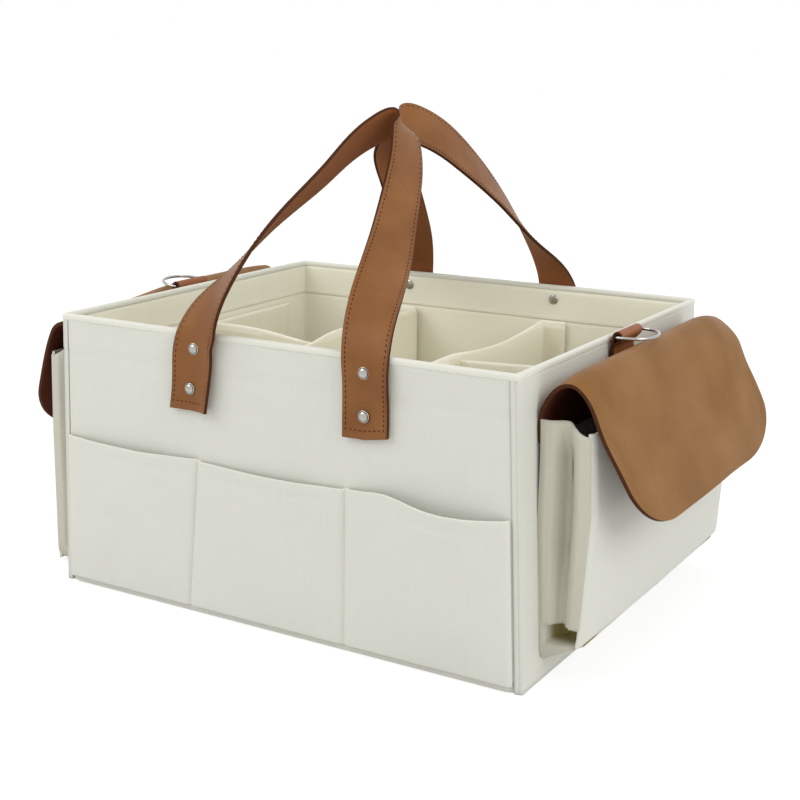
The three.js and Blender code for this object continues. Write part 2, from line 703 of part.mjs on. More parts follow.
function halfDivider(crossX) {
  const wall = endInner(WALL, DIVIDER_FOOT) - STANDOFF;
  const head = wall - DIVIDER_HEAD;
  const edge = crossX + DIVIDER / 2 + DIVIDER_EDGE_GAP + END_SLOPE * (DIVIDER_TOP - DIVIDER_FOOT);
  const half = DIVIDER / 2;
  const corners = [
    [wall, -HEAD_HALF], [wall, HEAD_HALF], [head, HEAD_HALF], [head, half],
    [edge, half], [edge, -half], [head, -half], [head, -HEAD_HALF],
  ].map(([a, b]) => new THREE.Vector2(a, b));
  return followEndWall(prism(new THREE.Shape(corners), DIVIDER_FOOT, HALF_DIVIDER_TOP));
}

function headTape() {
  const wall = endInner(WALL, DIVIDER_FOOT) - STANDOFF + GAP;
  const heights = [HEAD_HOOK_TOP - HEAD_HOOK_WIDTH, HEAD_HOOK_TOP];
  return followEndWall(plate(wall, wall + HOOK_TAPE, -HEAD_HOOK_HALF, HEAD_HOOK_HALF, ...heights));
}

piece('right_half_divider', halfDivider(RIGHT_DIVIDER_X), liningCloth);
piece('left_half_divider', turned(halfDivider(-LEFT_DIVIDER_X)), liningCloth);
piece('right_head_hook_tape', headTape(), hookTape);
piece('left_head_hook_tape', turned(headTape()), hookTape);

export default basket;
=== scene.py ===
from math import copysign, cos, dist, exp, hypot, pi, radians, sin, sqrt, tau

import bmesh
import bpy
import numpy as np
from mathutils import Matrix, Vector, noise


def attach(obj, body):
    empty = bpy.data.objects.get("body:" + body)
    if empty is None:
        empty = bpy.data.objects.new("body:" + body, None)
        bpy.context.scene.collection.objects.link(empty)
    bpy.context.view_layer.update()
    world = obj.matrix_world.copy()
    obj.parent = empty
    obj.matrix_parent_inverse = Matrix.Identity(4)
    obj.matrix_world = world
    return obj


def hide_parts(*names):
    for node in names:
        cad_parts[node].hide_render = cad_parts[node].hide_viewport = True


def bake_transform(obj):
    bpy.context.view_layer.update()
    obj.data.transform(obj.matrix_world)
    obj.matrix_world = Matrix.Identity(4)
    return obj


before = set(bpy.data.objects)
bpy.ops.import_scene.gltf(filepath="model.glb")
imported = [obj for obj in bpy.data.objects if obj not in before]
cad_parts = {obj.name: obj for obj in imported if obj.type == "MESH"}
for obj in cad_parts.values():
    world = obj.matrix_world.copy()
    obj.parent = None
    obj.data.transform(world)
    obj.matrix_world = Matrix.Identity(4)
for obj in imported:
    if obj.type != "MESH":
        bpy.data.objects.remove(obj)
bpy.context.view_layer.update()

scene = bpy.context.scene
scene.view_settings.view_transform = "Standard"


# The camera stands off the basket's front right corner, a little above the rim, and looks slightly down.
# Its place was solved from the basket's straight edges.
AZIMUTH = radians(30.98)
ELEVATION = radians(14.21)
ROLL = radians(0.272)
CAMERA_PLACE = (0.5367, -0.8777, 0.3913)
LENS = 63.56
back = Vector((sin(AZIMUTH) * cos(ELEVATION), -cos(AZIMUTH) * cos(ELEVATION), sin(ELEVATION)))
right = Vector((cos(AZIMUTH), sin(AZIMUTH), 0))
tilt = Matrix((right, back.cross(right), back)).transposed() @ Matrix.Rotation(ROLL, 3, "Z")
camera = bpy.data.objects.new("camera", bpy.data.cameras.new("camera"))
camera.data.lens = LENS
camera.data.sensor_width = 36
camera.matrix_world = Matrix.Translation(CAMERA_PLACE) @ tilt.to_4x4()
scene.collection.objects.link(camera)
scene.camera = camera


# The studio: an even white room, a wide soft lamp high over the front left, a larger one farther off on
# the right, and a white sheet of paper under the basket that keeps its contact shadow.
ROOM_LIGHT = 0.86
LAMP_AIM = Vector((0, 0, 0.12))
PAPER_HALF = 9.0
PAPER_BELOW = 0.0003
PAPER_TONE = 0.86
PAPER_GLOW = 1.22
GLOW_SHARE = 0.62
WHITE = (1, 1, 1, 1)


def fill(tree, node, inputs):
    """Gives each named input of a node a value, a socket, or the first output of another node."""
    for label, value in inputs.items():
        if isinstance(value, bpy.types.Node):
            value = value.outputs[0]
        if isinstance(value, bpy.types.NodeSocket):
            tree.links.new(value, node.inputs[label])
        else:
            node.inputs[label].default_value = value


def add(tree, kind, inputs=None, **settings):
    """One shader node with its settings and inputs."""
    made = tree.nodes.new("ShaderNode" + kind)
    for key, value in settings.items():
        setattr(made, key, value)
    fill(tree, made, inputs or {})
    return made


def calc(tree, operation, *values):
    return add(tree, "Math", dict(enumerate(values)), operation=operation)


def piece(name, mesh, *materials):
    """A finished mesh as an object at the origin, smooth, with its materials."""
    made = bpy.data.objects.new(name, bpy.data.meshes.new(name))
    for face in mesh.faces:
        face.smooth = True
    mesh.to_mesh(made.data)
    mesh.free()
    scene.collection.objects.link(made)
    for material in materials:
        made.data.materials.append(material)
    return made


world = bpy.data.worlds.new("white_room")
scene.world = world
world.use_nodes = True
room = world.node_tree
room.nodes.clear()
ray = add(room, "LightPath").outputs
mirrored = calc(room, "MAXIMUM", ray["Is Glossy Ray"], ray["Is Transmission Ray"])
shown = calc(room, "MAXIMUM", ray["Is Camera Ray"], mirrored)
dim = add(room, "Background", {"Color": WHITE, "Strength": ROOM_LIGHT})
bright = add(room, "Background", {"Color": WHITE, "Strength": 1})
either = add(room, "MixShader", {0: shown, 1: dim, 2: bright})
add(room, "OutputWorld", {"Surface": either})

for name, place, width, watts in (
    ("key_lamp", (-1.0, -1.1, 1.4), 1.2, 10.5),
    ("fill_lamp", (2.6, -0.5, 1.7), 1.6, 28),
):
    lamp = bpy.data.objects.new(name, bpy.data.lights.new(name, "AREA"))
    lamp.data.energy = watts
    lamp.data.size = width
    lamp.location = place
    lamp.rotation_euler = (LAMP_AIM - Vector(place)).to_track_quat("-Z", "Y").to_euler()
    scene.collection.objects.link(lamp)

paper_white = bpy.data.materials.new("paper_white")
paper_white.use_nodes = True
tree = paper_white.node_tree
tree.nodes.clear()
ray = add(tree, "LightPath").outputs
seen = calc(tree, "MULTIPLY", ray["Is Camera Ray"], GLOW_SHARE)
matt = add(tree, "BsdfDiffuse", {"Color": (PAPER_TONE, PAPER_TONE, PAPER_TONE, 1)})
glow = add(tree, "Emission", {"Color": WHITE, "Strength": PAPER_GLOW})
either = add(tree, "MixShader", {0: seen, 1: matt, 2: glow})
add(tree, "OutputMaterial", {"Surface": either})
sheet = bmesh.new()
bmesh.ops.create_grid(sheet, x_segments=1, y_segments=1, size=PAPER_HALF)
bmesh.ops.translate(sheet, verts=sheet.verts, vec=(0, 0, -PAPER_BELOW))
paper = piece("paper", sheet, paper_white)


# The outer walls: four cut pieces of heavy cotton canvas. The end pieces wrap round the corners and are
# lapped over the long walls in an upright seam; the hem's stitching shows as a faint crease below the rim.
MM = 0.001
HALF_LENGTH = 190.5
HALF_WIDTH = 152.5
HEIGHT = 203
END_LEAN = 8.7
SIDE_LEAN = 0.7
CORNER_RADIUS = 2.5
SEAM_X = 184.5
LAP = 2.5
CANVAS = 1.3
WALL_STEP = 5
WALL_ROWS = 56
WALL_FOOT = 5.2
END_WALL_FOOT = 0.2
WALL_TOP = 200.3
HEM_LINE = 176
HEM_CREASE = 0.45
WALL_SLACK = 0.45
LAP_STITCHES = 3.3
LAP_TUCK = 1.35


def leaning(x, y, z):
    """Takes a point of the upright body, in millimetres, to the leaning walls."""
    rise = z / HEIGHT
    return Vector((x * (1 - END_LEAN * rise / HALF_LENGTH), y * (1 - SIDE_LEAN * rise / HALF_WIDTH), z))


def flow(low, high, value):
    """0 below low, 1 above high, and a soft step between them."""
    share = min(max((value - low) / (high - low), 0), 1)
    return share * share * (3 - 2 * share)


def hump(centre, reach, value):
    return exp(-((value - centre) / reach) ** 2)


def drift(x, y, z):
    """Smooth noise between -1 and 1 at a place: the slack and the waviness of every sheet."""
    return noise.noise(Vector((x, y, z)))


def colour(tone):
    """A colour written 0 to 255, as the shader takes it."""
    return tuple(((c / 255 + 0.055) / 1.055) ** 2.4 for c in tone) + (1,)


def lay_out(mesh, flat):
    """The UV of every point is its place on the flat cloth, in metres."""
    layers = mesh.loops.layers.uv
    cut = layers.get("cut") or layers.new("cut")
    for face in mesh.faces:
        for loop in face.loops:
            loop[cut].uv = flat(loop.vert)


def cut_sheet(columns, rows, flat, place, *given):
    """A flat grid of cloth is carried to place(u, v, *given), in millimetres; its UV is its flat place."""
    sheet = bmesh.new()
    bmesh.ops.create_grid(sheet, x_segments=columns, y_segments=rows, size=0.5)
    lay_out(sheet, lambda vert: ((vert.co.x + 0.5) * flat[0] * MM, (vert.co.y + 0.5) * flat[1] * MM))
    for vert in sheet.verts:
        vert.co = Vector(place(vert.co.x + 0.5, vert.co.y + 0.5, *given)) * MM
    return sheet


def thicken(made, thickness, offset, back_step=0, rim_step=0, even=True):
    """Gives a sheet its thickness, with its own material on the back and on the cut edge."""
    solid = made.modifiers.new("thickness", "SOLIDIFY")
    solid.thickness = thickness * MM
    solid.offset = offset
    solid.use_even_offset = even
    solid.material_offset = back_step
    solid.material_offset_rim = rim_step


def declare(made, body, slot, *nodes):
    """The body that a piece moves with, and the solids that it is shown for; slot is not used."""
    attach(made, body)
    if nodes:
        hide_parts(*nodes)


def new_group(name, inputs, outputs):
    """An empty shader group: its first input is a place, the others are numbers."""
    tree = bpy.data.node_groups.new(name, "ShaderNodeTree")
    for label in inputs:
        kind = "NodeSocketVector" if label == inputs[0] else "NodeSocketFloat"
        tree.interface.new_socket(label, in_out="INPUT", socket_type=kind)
    for label in outputs:
        tree.interface.new_socket(label, in_out="OUTPUT", socket_type="NodeSocketFloat")
    return tree, tree.nodes.new("NodeGroupInput").outputs, tree.nodes.new("NodeGroupOutput")


def speckle(tree, where, scale, detail):
    return add(tree, "TexNoise", {"Vector": where, "Scale": scale, "Detail": detail})


def spread(tree, value, least, most, low=0.3, high=0.7):
    """Takes a value between low and high to between least and most."""
    return add(tree, "MapRange", dict(enumerate((value, low, high, least, most))))


def bumped(tree, height, strength, depth, **settings):
    sizes = {"Height": height, "Strength": strength, "Distance": depth}
    return add(tree, "Bump", sizes, **settings)


# Plain weave: warp and weft pass over each other by turns; slubs are the thicker stretches of a thread
weave, given, result = new_group("plain_weave", ["Cloth", "Threads"], ["Height", "Slub", "Mottle"])
turns = calc(weave, "MULTIPLY", given["Threads"], pi)
threads = add(weave, "VectorMath", {0: given["Cloth"], "Scale": turns}, operation="SCALE")
axes = add(weave, "SeparateXYZ", {0: threads}).outputs
warp = calc(weave, "SINE", axes[0])
weft = calc(weave, "SINE", axes[1])
on_top = spread(weave, calc(weave, "MULTIPLY", warp, weft), 0, 1, -0.2, 0.2)
rounds = [calc(weave, "ABSOLUTE", wave) for wave in (warp, weft)]
warp_up, weft_up = (
    calc(weave, "MULTIPLY", own, calc(weave, "MULTIPLY_ADD", other, 0.45, 0.55))
    for own, other in (rounds, rounds[::-1]))
slubs = []
for stretch in ((900, 26, 1), (26, 900, 1)):
    along = add(weave, "VectorMath", {0: given["Cloth"], 1: stretch}, operation="MULTIPLY")
    slubs.append(speckle(weave, along, 1, 2))
fill(weave, result, {
    "Height": add(weave, "Mix", {0: on_top, 2: weft_up, 3: warp_up}),
    "Slub": calc(weave, "MULTIPLY", calc(weave, "ADD", *slubs), 0.5),
    "Mottle": speckle(weave, given["Cloth"], 19, 3),
})


def new_material(name, **shader):
    """A material with a Principled shader, whose plain numbers are set on its own sockets."""
    made = bpy.data.materials.new(name)
    made.use_nodes = True
    surface = made.node_tree.nodes["Principled BSDF"]
    for socket, value in shader.items():
        surface.inputs[socket.replace("_", " ")].default_value = value
    return made, made.node_tree, surface


def blend_tones(tree, share, *tones):
    """From one tone to another by a share that changes over the surface; a tone may be a blend too."""
    first, second = (
        tone if isinstance(tone, bpy.types.NodeSocket) else colour(tone) for tone in tones)
    return add(tree, "Mix", {0: share, 6: first, 7: second}, data_type="RGBA").outputs[2]


def cloth(name, light, shade, threads=1050, relief=0.00022, sheen=0.25):
    """Woven cloth: threads per metre, and the relief of its weave in metres."""
    made, tree, surface = new_material(
        name, Sheen_Weight=sheen, Sheen_Roughness=0.6, Specular_IOR_Level=0.25)
    cut = add(tree, "UVMap", uv_map="cut")
    woven = add(tree, "Group", {"Cloth": cut, "Threads": threads}, node_tree=weave).outputs
    mottle = calc(tree, "MULTIPLY_ADD", woven["Mottle"], 0.35, -0.28)
    uneven = calc(tree, "MULTIPLY_ADD", woven["Slub"], 0.75, mottle)
    # The colour is lighter on the weave's raised threads and darker in the gaps between them, which is
    # painted shade; it also follows the slubs' and mottle's own uneven tone.
    fill(tree, surface, {
        "Base Color": blend_tones(
            tree, calc(tree, "MULTIPLY_ADD", woven["Height"], 0.35, uneven), shade, light),
        "Roughness": spread(tree, woven["Slub"], 0.81, 0.91),
        "Normal": bumped(
            tree, calc(tree, "MULTIPLY_ADD", woven["Slub"], 0.8, woven["Height"]), 0.45, relief),
    })
    return made


def distances(points):
    """The way along a line, at each of its points."""
    return np.r_[0, np.cumsum(np.linalg.norm(np.diff(points, axis=0), axis=1))]


def corner_run(centre_x, centre_y, radius, start, steps):
    """Stations round a quarter circle, each with its outward direction."""
    run = []
    for k in range(steps + 1):
        angle = radians(start + 90 * k / steps)
        out = (cos(angle), sin(angle))
        run.append((centre_x + radius * out[0], centre_y + radius * out[1], *out))
    return run


def straight_run(start, end, out, step):
    count = max(round(dist(start, end) / step), 1)
    return [
        (start[0] + (end[0] - start[0]) * k / count, start[1] + (end[1] - start[1]) * k / count, *out)
        for k in range(count + 1)
    ]


def end_run():
    """The right end wall's outline, from its seam on the front to its seam on the rear."""
    x, y = HALF_LENGTH - CORNER_RADIUS, HALF_WIDTH - CORNER_RADIUS
    lap = (0, 0.5, 1.4, 2.4, 3)
    return (
        [(SEAM_X + way, -HALF_WIDTH, 0, -1) for way in lap]
        + corner_run(x, -y, CORNER_RADIUS, -90, 6)
        + straight_run((HALF_LENGTH, -y), (HALF_LENGTH, y), (1, 0), WALL_STEP)[1:-1]
        + corner_run(x, y, CORNER_RADIUS, 0, 6)
        + [(SEAM_X + way, HALF_WIDTH, 0, 1) for way in reversed(lap)]
    )


def long_run():
    """The front wall's outline: its ends run on under the laps of the end walls."""
    under_lap = (SEAM_X + LAP, SEAM_X + 0.1, SEAM_X - 0.8, SEAM_X - 2.2)
    return (
        [(-x, -HALF_WIDTH, 0, -1) for x in under_lap]
        + straight_run((-SEAM_X + 5, -HALF_WIDTH), (SEAM_X - 5, -HALF_WIDTH), (0, -1), WALL_STEP)
        + [(x, -HALF_WIDTH, 0, -1) for x in reversed(under_lap)]
    )


def wall_sheet(run, shift, is_end):
    """A wall's cloth along a run of stations: lapped or tucked at its upright seams, creased at the hem."""
    foot = END_WALL_FOOT if is_end else WALL_FOOT
    hidden = 0 if is_end else LAP
    lengths = distances([station[:2] for station in run])

    def place(u, v):
        index = round(u * (len(run) - 1))
        x, y, out_x, out_y = run[index]
        z = foot + v * (WALL_TOP - foot)
        from_seam = min(lengths[index], lengths[-1] - lengths[index]) - hidden
        dip = WALL_SLACK + HEM_CREASE * hump(HEM_LINE, 1.5, z) + 0.25 * flow(HEM_LINE + 3, HEM_LINE - 3, z)
        if is_end:
            dip += 0.5 * hump(LAP_STITCHES, 0.8, from_seam) - 0.3 * hump(1.3, 1.4, from_seam)
        else:
            dip += LAP_TUCK * flow(0.9, 0.1, from_seam) + 0.4 * hump(WALL_FOOT, 1.5, z)
        wave = drift(lengths[index] / 70 + shift, z / 55, shift)
        wrinkle = drift(lengths[index] / 22, z / 30, shift + 7)
        dip += (WALL_SLACK * wave + 0.12 * (1 + wrinkle)) * flow(2, 16, from_seam)
        return leaning(x - dip * out_x, y - dip * out_y, z)

    return cut_sheet(len(run) - 1, WALL_ROWS, (lengths[-1], WALL_TOP - foot), place)


canvas = cloth("canvas", (213, 214, 205), (202, 202, 191))
as_made = Matrix.Identity(4)
half_turn = Matrix.Rotation(pi, 4, "Z")
for name, is_end, shift, turn in (
    ("front", False, 0, as_made),
    ("rear", False, 6, half_turn),
    ("right", True, 3, as_made),
    ("left", True, 9, half_turn),
):
    mesh = wall_sheet(end_run() if is_end else long_run(), shift, is_end)
    mesh.transform(turn)
    wall = piece(f"{name}_canvas", mesh, canvas)
    thicken(wall, CANVAS, -1)
    declare(wall, "basket", "canvas", f"{name}_wall")


# The bottom panel: stiff canvas with a narrow bound edge, which shows along the foot of the long walls;
# the end walls run down over it.
RIM_STEP = 5
BASE_INSET = 2.4
BASE_STEP = 20
BASE_THICK = 4.6
EDGE_SECTION = [
    (-3, 0.2), (-0.9, 0), (-0.35, 0.4), (-0.2, 1.2), (-0.2, 4), (-0.4, 4.6), (-0.8, 5), (-3, 5.1)]
EDGE_TUCK = 2.8
UP = Vector((0, 0, 1))


def ring_run(inset, step):
    """A closed run round the basket, inset from its outer face, anticlockwise from the front left."""
    half_x, half_y = HALF_LENGTH - inset, HALF_WIDTH - inset
    radius = max(CORNER_RADIUS - inset, 1.5)
    x, y = half_x - radius, half_y - radius
    run = []
    for start, end, out, corner, angle in (
        ((-x, -half_y), (x, -half_y), (0, -1), (x, -y), -90),
        ((half_x, -y), (half_x, y), (1, 0), (x, y), 0),
        ((x, half_y), (-x, half_y), (0, 1), (-x, y), 90),
        ((-half_x, y), (-half_x, -y), (-1, 0), (-x, -y), 180),
    ):
        run += straight_run(start, end, out, step)[:-1] + corner_run(*corner, radius, angle, 5)[:-1]
    return run


def rim_run():
    """Round the outer face, with the outward direction mitred in the corners for a deep section."""
    run = []
    for x, y, out_x, out_y in ring_run(0, RIM_STEP):
        across = Vector((out_x, out_y, 0))
        if abs(x) > HALF_LENGTH - CORNER_RADIUS - 0.01 and abs(y) > HALF_WIDTH - CORNER_RADIUS - 0.01:
            across = 0.34 * across + 0.66 * Vector((copysign(1, x), copysign(1, y), 0))
        run.append((x, y, across))
    return run


def weld(mesh, near=1e-6):
    """Joins the points that lie in one place."""
    bmesh.ops.remove_doubles(mesh, verts=mesh.verts, dist=near)


def swept(stations, section, closed):
    """A section of (across, up) points is carried along stations of (point, across, up), in millimetres."""
    count, sides = len(stations), len(section)
    steps = count if closed else count - 1
    body = bmesh.new()
    bmesh.ops.create_grid(body, x_segments=steps, y_segments=sides, size=0.5)
    way = distances([stations[i % count][0] for i in range(steps + 1)])
    girth = distances(section + section[:1])

    def lattice(vert):
        return round((vert.co.x + 0.5) * steps), round((vert.co.y + 0.5) * sides)

    def flat(vert):
        i, k = lattice(vert)
        return way[i] * MM, girth[k] * MM

    lay_out(body, flat)
    for vert in body.verts:
        i, k = lattice(vert)
        point, across, up = stations[i % count]
        a, b = section[k % sides]
        vert.co = (point + across * a + up * b) * MM
    weld(body)
    if not closed:
        bmesh.ops.holes_fill(body, edges=[edge for edge in body.edges if edge.is_boundary])
    bmesh.ops.recalc_face_normals(body, faces=body.faces)
    return body


base_mesh = bmesh.new()
outline = [base_mesh.verts.new(leaning(x, y, 0) * MM) for x, y, _, _ in ring_run(BASE_INSET, BASE_STEP)]
grown = bmesh.ops.extrude_face_region(base_mesh, geom=[base_mesh.faces.new(outline)])
top_verts = [item for item in grown["geom"] if isinstance(item, bmesh.types.BMVert)]
bmesh.ops.translate(base_mesh, verts=top_verts, vec=(0, 0, BASE_THICK * MM))
bmesh.ops.recalc_face_normals(base_mesh, faces=base_mesh.faces)
base_mesh.loops.layers.uv.new("cut")
base = piece("base_cloth", base_mesh, canvas)
declare(base, "basket", "canvas", "base_panel")

edge_stations = []
for x, y, across in rim_run():
    tuck = EDGE_TUCK * flow(SEAM_X - 3, SEAM_X - 0.5, abs(x))
    up = UP * (1 + 0.015 * drift(x / 30, y / 30, 4))
    edge_stations.append((leaning(x, y, 0) - across * tuck, across, up))
bound_edge = cloth("bound_edge", (213, 213, 202), (201, 200, 188), threads=1300)
base_edge = piece("base_bound_edge", swept(edge_stations, EDGE_SECTION, True), bound_edge)
declare(base_edge, "basket", "canvas")


# The rim: a cream cotton strip rolled over the tops of the canvas, the boards and the hem, and sewn
# through all of them in one seam below its roll.
RIM_SECTION = [
    (-4.9, -4.5), (-5.1, -2.5), (-4.8, -1.1), (-3.6, -0.1), (-2.4, 0.3), (-1, 0), (0.1, -0.9), (0.05, -2.2),
    (-0.05, -3.6), (-0.4, -4.7), (-2, -4.4),
]


def soften(made):
    smooth = made.modifiers.new("soft", "SUBSURF")
    smooth.levels = 1
    smooth.render_levels = 1


rim_cloth = cloth("rolled_rim", (224, 224, 213), (213, 213, 200), threads=1300, sheen=0.15)
rim_stations = []
for x, y, across in rim_run():
    dip = 0.35 + 0.35 * drift(x / 55, y / 55, 1.5)
    rim_stations.append((leaning(x, y, HEIGHT) - UP * dip, across, UP))
rim = piece("rim_roll", swept(rim_stations, RIM_SECTION, True), rim_cloth)
soften(rim)
declare(rim, "basket", "binding", "rim_binding")


# The lining: a beige cotton bag that hangs inside the boards, and a deep hem band round its mouth whose
# folded lower edge stands proud of the bag.
LINING_INSET = 4.5
LINING_FLOOR = 6.3
LINING_STEP = 6
LINING_ROWS = 36
LINING_CLOTH = 0.9
LINING_FLAT = (1340, 170)
HEM_SECTION = [
    (-4.2, -1.2), (-4.9, -1.5), (-5.2, -1.2), (-5.4, -0.4), (-5.4, 1.4), (-5.35, 2.4), (-5.3, 3.2),
    (-5.3, 12), (-5.1, 20), (-4.7, 23.2), (-3.6, 23.2), (-3.6, 4),
]
HEM_FOLD = 2.2
lining_cloth = cloth("lining_cloth", (243, 240, 222), (232, 229, 209), threads=1200, relief=0.00015)
# Cream tape: the real binding on the dividers' tops; on the hem's lower fold it is partly painted light.
cream_tape_and_highlight = cloth("cream_tape_and_highlight", (246, 243, 226), (236, 232, 213), threads=1300)
lining_run = ring_run(LINING_INSET, LINING_STEP)[::-1]


def lining_place(u, v):
    x, y, out_x, out_y = lining_run[round(u * len(lining_run)) % len(lining_run)]
    z = LINING_FLOOR + v * (HEM_LINE - 0.3 - LINING_FLOOR)
    turn_in = 3 * max(1 - (z - LINING_FLOOR) / 4, 0) ** 2
    slack = 0.45 + 0.45 * drift(x / 60, y / 60, z / 60 + 2)
    off = turn_in + slack * flow(0, 0.1, v) * flow(1, 0.9, v)
    return leaning(x - off * out_x, y - off * out_y, z)


bag = cut_sheet(len(lining_run), LINING_ROWS, LINING_FLAT, lining_place)
weld(bag)
foot = [edge for edge in bag.edges if edge.is_boundary and edge.verts[0].co.z < 0.01]
floor = bmesh.ops.contextual_create(bag, geom=foot)["faces"][0]
floor.normal_update()
if floor.normal.z < 0:
    floor.normal_flip()
lining = piece("lining_bag", bag, lining_cloth)
thicken(lining, LINING_CLOTH, -1)
declare(lining, "basket", "lining_cloth", "lining")

hem_stations = [
    (Vector((x, y, HEM_LINE + 0.4 * drift(x / 40, y / 40, 9))), across, UP) for x, y, across in rim_run()]
hem_mesh = swept(hem_stations, HEM_SECTION, True)
for vert in hem_mesh.verts:
    vert.co = leaning(*(vert.co / MM)) * MM
# The hem's folded lower edge and its underside take the cream tape's lighter tone: partly the cream of the
# folded edge, partly painted light that lifts the shade under the fold.
for face in hem_mesh.faces:
    face.material_index = int(face.calc_center_median().z < (HEM_LINE + HEM_FOLD) * MM)
hem = piece("hem_fold", hem_mesh, lining_cloth, cream_tape_and_highlight)
declare(hem, "basket", "lining_cloth", "hem_band")


# The flat pockets: a hemmed canvas sheet on each long wall, sewn down at its ends, foot and two seams,
# so that it hangs in three bays with a loose mouth. The rear one isn't seen and is made like the front.
POCKET_FOOT = 4.9
POCKET_TOP = 112
POCKET_CLOTH = 2.2
POCKET_GAP = 0.4
POCKET_ENDS = (-184, 184.1)
LEFT_SEAM = (-70, -61)
RIGHT_SEAM = (59.7, 62.5)
BAY_SLACK = (3.5, 2.2, 8)
MOUTH_STITCHES = 9
SEAM_SINK = 1.7
BAY_COLUMNS = 26
POCKET_ROWS = 44


def pocket_place(u, v):
    z = POCKET_FOOT + v * (POCKET_TOP - POCKET_FOOT)
    lines = (
        POCKET_ENDS[0], LEFT_SEAM[0] + v * (LEFT_SEAM[1] - LEFT_SEAM[0]),
        RIGHT_SEAM[0] + v * (RIGHT_SEAM[1] - RIGHT_SEAM[0]), POCKET_ENDS[1],
    )
    bay = min(int(u * 3), 2)
    share = u * 3 - bay
    share -= 0.11 * sin(tau * share)
    x = lines[bay] + share * (lines[bay + 1] - lines[bay])
    swell = sin(pi * share ** (1.4 if bay == 2 else 1))
    opened = sin(pi / 2 * min((z - POCKET_FOOT) / 42, 1)) * (0.72 + 0.28 * flow(40, 110, z))
    off = BAY_SLACK[bay] * swell ** 0.8 * opened
    from_seam = min(abs(x - line) for line in lines)
    off += 0.5 * drift(x / 26, z / 45, 5) * flow(0, 20, from_seam) * (1 + opened)
    off += 0.35 * drift(x / 11, z / 34, 2) * flow(0, 8, from_seam)
    off = max(off, 0) - SEAM_SINK * hump(0, 1.5, from_seam)
    off -= 0.5 * hump(POCKET_TOP - MOUTH_STITCHES, 1.4, z) * flow(2, 8, from_seam)
    sag = (1.5 + 1.2 * (bay == 2)) * swell
    rise = 1.2 * (bay == 0) + 0.6 + 4.2 * (bay == 2) * hump(0.29, 0.2, share)
    z += (rise - sag) * flow(POCKET_TOP - 30, POCKET_TOP, z)
    return leaning(x, -(HALF_WIDTH + POCKET_GAP + POCKET_CLOTH + off), z)


def round_edges(made, width):
    bevel = made.modifiers.new("round_edges", "BEVEL")
    bevel.width = width * MM
    bevel.segments = 2
    bevel.limit_method = "ANGLE"
    bevel.angle_limit = radians(50)


def flip(mesh):
    bmesh.ops.reverse_faces(mesh, faces=mesh.faces)


def hemmed(name, mesh, thickness):
    """A canvas sheet whose edges are bound with the rim's strip."""
    made = piece(name, mesh, canvas, rim_cloth)
    thicken(made, thickness, -1, rim_step=1)
    round_edges(made, 0.6)
    return made


for side, mirror in (("front", as_made), ("rear", Matrix.Scale(-1, 4, (0, 1, 0)))):
    mesh = cut_sheet(3 * BAY_COLUMNS, POCKET_ROWS, (1, 1), pocket_place)
    lay_out(mesh, lambda vert: (vert.co.x, vert.co.z))
    mesh.transform(mirror)
    if mirror.is_negative:
        flip(mesh)
    pocket = hemmed(f"{side}_pocket_cloth", mesh, POCKET_CLOTH)
    declare(pocket, "basket", "canvas", f"{side}_pocket")


# The bellows pockets on the ends: a front panel of canvas, and one strip of lining cloth that runs down,
# under and up between wall and panel, pleated inward along its middle so that the pocket can open.
PANEL_HALF = 127
PANEL_TOP = 166
PANEL_CLOTH = 2.2
PANEL_FOOT = {"right": 27, "left": 1.5}
POCKET_DEPTHS = {"right": (28, 37.3), "left": (34.5, 37)}
PANEL_CROWN = {"right": 1.6, "left": 0.8}
PANEL_STITCHES = 12
EDGE_CURL = 3
WELT = 4.5
GUSSET_HALF = 126
GUSSET_WALL_FOOT = {"right": 14, "left": 2}
OPEN_FOLD = {"right": 1, "left": 0}
GUSSET_TOP = 171
GUSSET_STANDOFF = 3
GUSSET_CORNER = 9
GUSSET_CLOTH = 1.4
PANEL_GRID = (64, 44)
GUSSET_GRID = (220, 40)
GUSSET_FLAT = (520, 46)
CORNER_START = 0.27
CORNER_END = 0.37
PLEAT = (
    (0, 0), (0.1, -1), (0.22, 0.5), (0.3, 5), (0.38, 11), (0.5, 13), (0.6, 10), (0.68, 2.5), (0.78, -1),
    (1, 0),
)
SCOOP = ((0, 0), (0.1, 0.5), (0.18, 7), (0.33, 14), (0.55, 17), (0.8, 16), (0.93, 9), (1, 0))
HOLLOW_SHADE_TONE = (130, 118, 60)
# The pleated strip is lining cloth, but it gets a much darker tone than the lining: painted shade for its
# recess between wall, panel and flap.
shaded_pleat_cloth = cloth("shaded_pleat_cloth", (197, 194, 179), (183, 180, 163), threads=1200, relief=0.00015)
tree = shaded_pleat_cloth.node_tree
surface = tree.nodes["Principled BSDF"]
# Low in the right pocket's open fold the colour turns to a dark yellowish tone: painted shade, tinted by
# painted bounce light, in the hollow.
hollow_shade = add(tree, "Attribute", attribute_name="hollow_shade").outputs["Fac"]
plain = surface.inputs["Base Color"].links[0].from_socket
fill(tree, surface, {"Base Color": blend_tones(tree, hollow_shade, plain, HOLLOW_SHADE_TONE)})


def end_face(z):
    return HALF_LENGTH - END_LEAN * z / HEIGHT


def panel_out(side, z):
    at_foot, at_top = POCKET_DEPTHS[side]
    foot = PANEL_FOOT[side]
    return end_face(z) + at_foot + (at_top - at_foot) * min((z - foot) / (PANEL_TOP - foot) * 1.6, 1)


